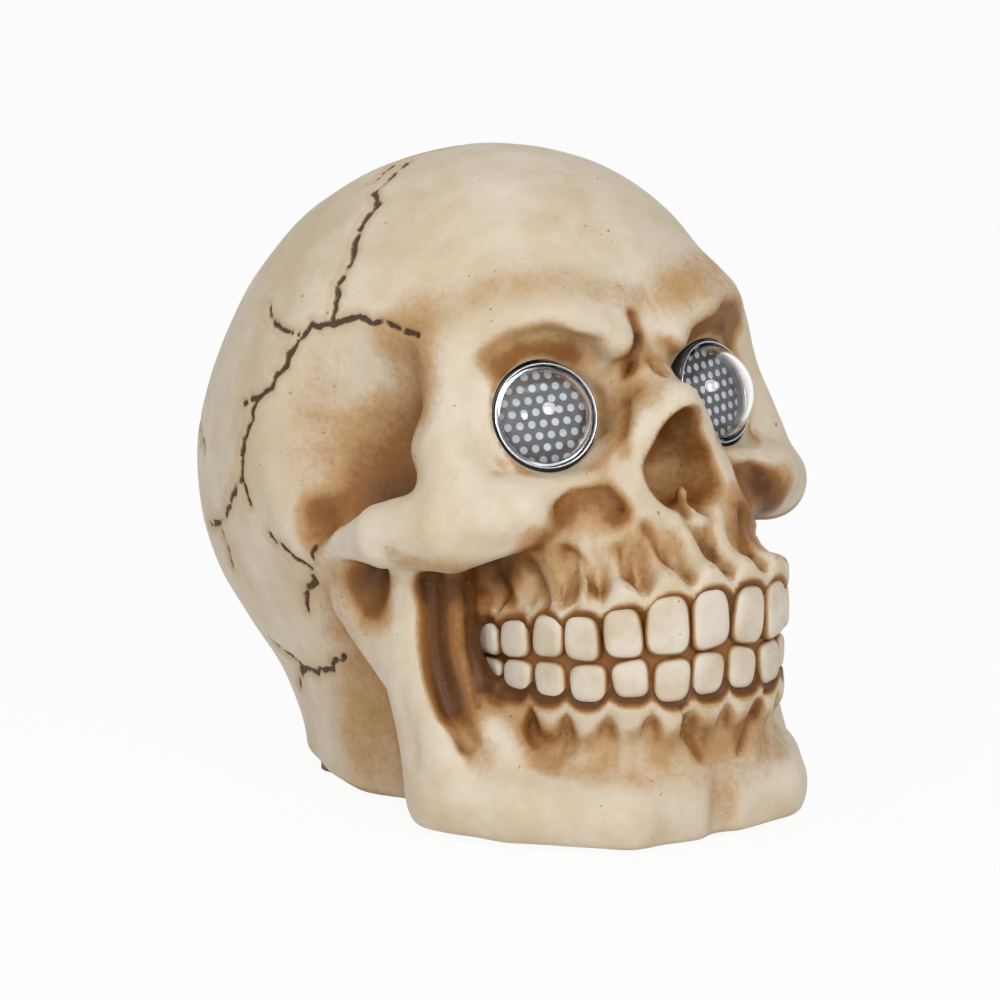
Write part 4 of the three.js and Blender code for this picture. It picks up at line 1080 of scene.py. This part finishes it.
def toothBlock(width, height, row, draw):
    bpy.ops.mesh.primitive_cube_add(size=2)
    tooth = bpy.context.object
    bpy.ops.object.mode_set(mode="EDIT")
    bpy.ops.mesh.select_all(action="SELECT")
    bpy.ops.mesh.subdivide(number_cuts=toothShape["cuts"])
    bpy.ops.object.mode_set(mode="OBJECT")
    p = readVectors(tooth.data.vertices, "co")
    power, depth = toothShape["outline"], toothShape["depth"]
    flat = np.abs(p[:, [0, 2]])
    reach = flat.max(1)
    rounded = (flat ** power).sum(1) ** (1 / power)
    p[:, [0, 2]] *= (reach / np.maximum(rounded, 1e-6))[:, None]
    bevel = ramp(reach, toothShape["flat"], toothShape["flatEnd"]) * 2 * toothShape["bevel"]
    back = (p[:, 1] + 1) / 2
    p *= np.array([width, depth, height]) / 2
    p[:, 1] += bevel * (1 - back)
    up = p[:, 2] / height * row["side"] + 0.5  # 0 at the cutting edge, 1 at the neck
    corner = draw.normal(0, toothShape["uneven"], 4)
    narrow = 1 - row["taper"] * up ** 2
    skew = (corner[0] * up + corner[1] * (1 - up)) * toothShape["skew"]
    chip = (corner[2] * (p[:, 0] / width) + corner[3] * toothShape["chip"]) * (1 - up) * row["side"]
    bulge = toothShape["bulgeAcross"] * (1 - (2 * p[:, 0] / width) ** 2)
    bulge += toothShape["bulgeUp"] * (1 - (2 * up - toothShape["bulgeAt"]) ** 2)
    p[:, 0] = p[:, 0] * narrow + skew
    p[:, 1] -= bulge * (1 - back)
    p[:, 2] += chip
    tooth.data.vertices.foreach_set("co", (p * mm).astype(np.float32).ravel())
    washAndShade = sum(stain(reach, *edge) for edge in toothShape["edgeStains"])
    washAndShade += stain(back, *toothShape["backStain"])
    setAttribute(tooth.data, "washAndShade", np.clip(washAndShade, 0, toothShape["stainLimit"]))
    return tooth


def rowOfTeeth(row):
    draw = np.random.default_rng(row["seed"])
    teeth, start = [], 0.0
    for n, width in enumerate(row["widths"]):
        x, y, heading = alongArch(row["arch"], start + width / 2)
        for side in (-1, 1):
            height = row["heights"][n] * draw.uniform(*toothShape["heightShare"])
            wide = (width - row["gap"]) * draw.uniform(*toothShape["widthShare"])
            tooth = toothBlock(wide, height - toothShape["trim"], row, draw)
            lean = radians(draw.normal(0, toothShape["lean"]))
            z = biteAt(y) + row["side"] * (height + toothShape["gumSide"]) / 2
            spot = Vector((side * x, y, z)) + Vector(castingShift)
            turn = Euler((0, 0, side * heading)).to_matrix() @ Euler((0, lean, 0)).to_matrix()
            inward = Matrix.Translation((0, toothShape["depth"] / 2 * mm, 0))
            carryPlace(tooth, Matrix.Translation(spot * mm) @ turn.to_4x4() @ inward)
            teeth.append(tooth)
        start += width
    made = joinPieces(teeth, row["name"])
    smoothByAngle(made, angle=50)
    return made


# Eye modules, spun about each eye's own axis: profiles as (radius, height) in millimetres
eyeModule = {
    "cup": [(2.2, -12), (9.75, -12), (10.2, -11.5), (10.2, 1.2), (10.05, 1.5), (9.8, 1.6), (9.55, 1.6),
            (9.4, 1.45), (9.4, -0.6), (8.45, -0.6), (8.45, -10.8), (2.2, -10.8)],
    "ring": {"inner": 9.4, "outer": 9.8, "low": 1.9, "high": 2.6, "steps": 20},
    "disc": {"radius": 9.08, "low": -0.3, "high": 0.3, "edge": 0.12},
    "dome": {"radius": 9.1, "wall": 0.8, "bottom": 0.6, "skirt": 1.4, "rise": 6.6, "steps": 28},
    "turns": 96, "weld": 1e-6,
}


def spun(name, profile, side, closed=True):
    points = [Vector((radius, 0, height)) * mm for radius, height in profile]
    edges = [(n, n + 1) for n in range(len(points) - 1)]
    if closed:
        edges.append((len(points) - 1, 0))
    piece = meshPiece(name, points, edges, [])
    pickOnly(piece)
    bpy.ops.object.mode_set(mode="EDIT")
    bpy.ops.mesh.select_all(action="SELECT")
    bpy.ops.mesh.spin(steps=eyeModule["turns"], angle=2 * pi, center=(0, 0, 0), axis=(0, 0, 1))
    bpy.ops.mesh.select_all(action="SELECT")
    bpy.ops.mesh.remove_doubles(threshold=eyeModule["weld"])
    bpy.ops.mesh.normals_make_consistent(inside=False)
    bpy.ops.object.mode_set(mode="OBJECT")
    carryPlace(piece, eyeMatrix(side))
    smoothByAngle(piece, angle=40)
    return piece


def capArc(radius, rise, base):
    sphere = (radius ** 2 + rise ** 2) / (2 * rise)
    reach = asin(min(1, radius / sphere))
    steps = eyeModule["dome"]["steps"]
    turns = [n / steps * reach for n in range(steps + 1)]
    return [(sphere * sin(turn), base + rise - sphere + sphere * cos(turn)) for turn in turns]


def domeProfile():
    dome = eyeModule["dome"]
    top = dome["bottom"] + dome["skirt"]
    inside = capArc(dome["radius"] - dome["wall"], dome["rise"] - dome["wall"], top)
    outside = capArc(dome["radius"], dome["rise"], top)[::-1]
    foot = [(dome["radius"] - dome["wall"], dome["bottom"]), (dome["radius"], dome["bottom"])]
    return inside + foot + outside


def ringProfile():
    ring = eyeModule["ring"]
    middle = ((ring["inner"] + ring["outer"]) / 2, (ring["low"] + ring["high"]) / 2)
    wide, tall = (ring["outer"] - ring["inner"]) / 2, (ring["high"] - ring["low"]) / 2
    turns = [2 * pi * n / ring["steps"] for n in range(ring["steps"])]
    return [(middle[0] + wide * cos(turn), middle[1] + tall * sin(turn)) for turn in turns]


def discProfile():
    disc = eyeModule["disc"]
    edge = disc["edge"]
    return [(0, disc["low"]), (disc["radius"], disc["low"]), (disc["radius"], disc["high"] - edge),
            (disc["radius"] - edge, disc["high"]), (0, disc["high"])]


def addEyes(cupPlastic, ringMetal, domeClear):
    for side, hand in ((-1, "right"), (1, "left")):
        cup = spun(f"eye_cup_{hand}", eyeModule["cup"], side)
        settle(cup, cupPlastic, f"eye_housing_{hand}")
        ring = spun(f"eye_ring_{hand}", ringProfile(), side)
        settle(ring, ringMetal, f"eye_trim_ring_{hand}")
        dome = spun(f"eye_dome_{hand}", domeProfile(), side, False)
        settle(dome, domeClear, f"eye_lens_{hand}")
        disc = spun(f"eye_dots_{hand}", discProfile(), side, False)
        settle(disc, dottedDisc(f"dots_{hand}", side), f"eye_dot_disc_{hand}")
    print("eyes fitted")


# Studio: pale floor, soft light from beside the camera, white beyond
studio = {
    "floorSize": 6.0, "floor": (0.9, 0.9, 0.9), "lift": 0.94, "ambient": 0.34,
    "lamps": [
        {"name": "key_softbox", "aim": (0.30, 0.36, 0.88), "distance": 1.1, "size": 0.54, "watts": 5.6},
        {"name": "fill_umbrella", "aim": (-0.57, 0.07, 0.82), "distance": 1.2, "size": 0.28, "watts": 3.0},
        {"name": "top_softbox", "aim": (-0.2, 0.95, 0.2), "distance": 1.3, "size": 0.9, "watts": 2.4},
    ],
}


def rayKinds(flow):  # 1 for what the camera sees, in mirrors and through the domes too
    camera = flow.node("ShaderNodeLightPath", {}, {}, "Is Camera Ray")
    outputs = camera.socket.node.outputs
    glossy, through = (Flow(flow.tree, outputs[name]) for name in ("Is Glossy Ray", "Is Transmission Ray"))
    return (camera + (glossy + through)).clamp()


def addStudio():
    bpy.ops.mesh.primitive_plane_add(size=studio["floorSize"])
    floor = bpy.context.object
    floor.name = "floor"
    material, flow, shader = newMaterial("pale_floor", Roughness=0.9, Base_Color=(*studio["floor"], 1))
    output = material.node_tree.nodes["Material Output"]
    glow = flow.node("ShaderNodeEmission", {}, {"Color": (1, 1, 1, 1), "Strength": 1.0})
    seen = rayKinds(flow) * studio["lift"]
    lit = flow.node("ShaderNodeMixShader", {}, {0: seen, 1: Flow(flow.tree, shader.outputs[0]), 2: glow})
    clear = flow.node("ShaderNodeBsdfTransparent")
    below = flow.node("ShaderNodeNewGeometry", {}, {}, "Backfacing")
    both = flow.node("ShaderNodeMixShader", {}, {0: below, 1: lit, 2: clear})
    flow.tree.links.new(both.socket, output.inputs["Surface"])
    floor.data.materials.append(material)
    world = bpy.data.worlds.new("studio_world")
    world.use_nodes = True
    bpy.context.scene.world = world
    sky = Flow(world.node_tree)
    strength = sky.node("ShaderNodeMath", {"operation": "MAXIMUM"}, {0: rayKinds(sky), 1: studio["ambient"]})
    background = world.node_tree.nodes["Background"]
    background.inputs["Color"].default_value = (1, 1, 1, 1)
    world.node_tree.links.new(strength.socket, background.inputs["Strength"])
    aimAt = Vector(photoView["target"]) * mm
    for lamp in studio["lamps"]:
        way = towards(*lamp["aim"]).normalized()
        turn = way.to_track_quat("Z", "Y").to_euler()
        bpy.ops.object.light_add(type="AREA", location=aimAt + way * lamp["distance"], rotation=turn)
        light = bpy.context.object
        light.name = lamp["name"]
        light.data.shape = "DISK"
        light.data.size = lamp["size"]
        light.data.energy = lamp["watts"]
    bpy.context.scene.view_settings.view_transform = "Standard"
    print("studio lit")


# Assembly
addStudio()
bone, ivory = boneResin(), toothIvory()
skullPiece = sculptSkull()
hollow = hollowCutter()
applyModifier(skullPiece, "BOOLEAN", object=hollow, operation="DIFFERENCE", solver="EXACT")
bpy.data.objects.remove(hollow)
smoothByAngle(skullPiece, angle=60)
settle(skullPiece, bone, "skull_casting")
print("skull hollowed:", len(skullPiece.data.polygons), "faces")
for teethRow in (upperRow, lowerRow):
    settle(rowOfTeeth(teethRow), ivory, "skull_casting")
print("teeth set")
black = blackPlastic("black_plastic", (0.012, 0.012, 0.014), 0.36)
addEyes(black, brightMetal("bright_ring", (0.62, 0.63, 0.65), 0.2, 160.0), clearDome())

keptFinishes = {  # the first key found in a node's name counts
    "battery_box": black, "battery_door": black, "switch_body": black,
    "switch_knob": blackPlastic("knob_plastic", (0.03, 0.03, 0.034), 0.45),
    "screw": brightMetal("screw_steel", (0.62, 0.62, 0.64), 0.3, 300.0),
    "contact": brightMetal("contact_nickel", (0.7, 0.69, 0.66), 0.26, 220.0),
    "led_board": mottled("circuit_board", paint(24, 92, 50), paint(18, 70, 40), 150.0, 0.45),
    "eye_lead": mottled("lead_red", paint(150, 30, 26), paint(120, 22, 20), 240.0, 0.5),
    "eye_led": mottled("lamp_epoxy", paint(232, 238, 246), paint(214, 222, 236), 200.0, 0.12, 0.05),
    "foot_pad": mottled("foot_felt", paint(150, 128, 100), paint(126, 106, 82), 420.0, 0.95, 0.8),
    "battery_": mottled("battery_sleeve", paint(38, 92, 66), paint(30, 76, 54), 60.0, 0.32, 0.05),
}
for nodeName, node in nodes.items():
    if node.hide_render:
        continue
    part = next(key for key in keptFinishes if key in nodeName)
    node.data.materials.clear()
    node.data.materials.append(keptFinishes[part])
print("kept pieces finished")
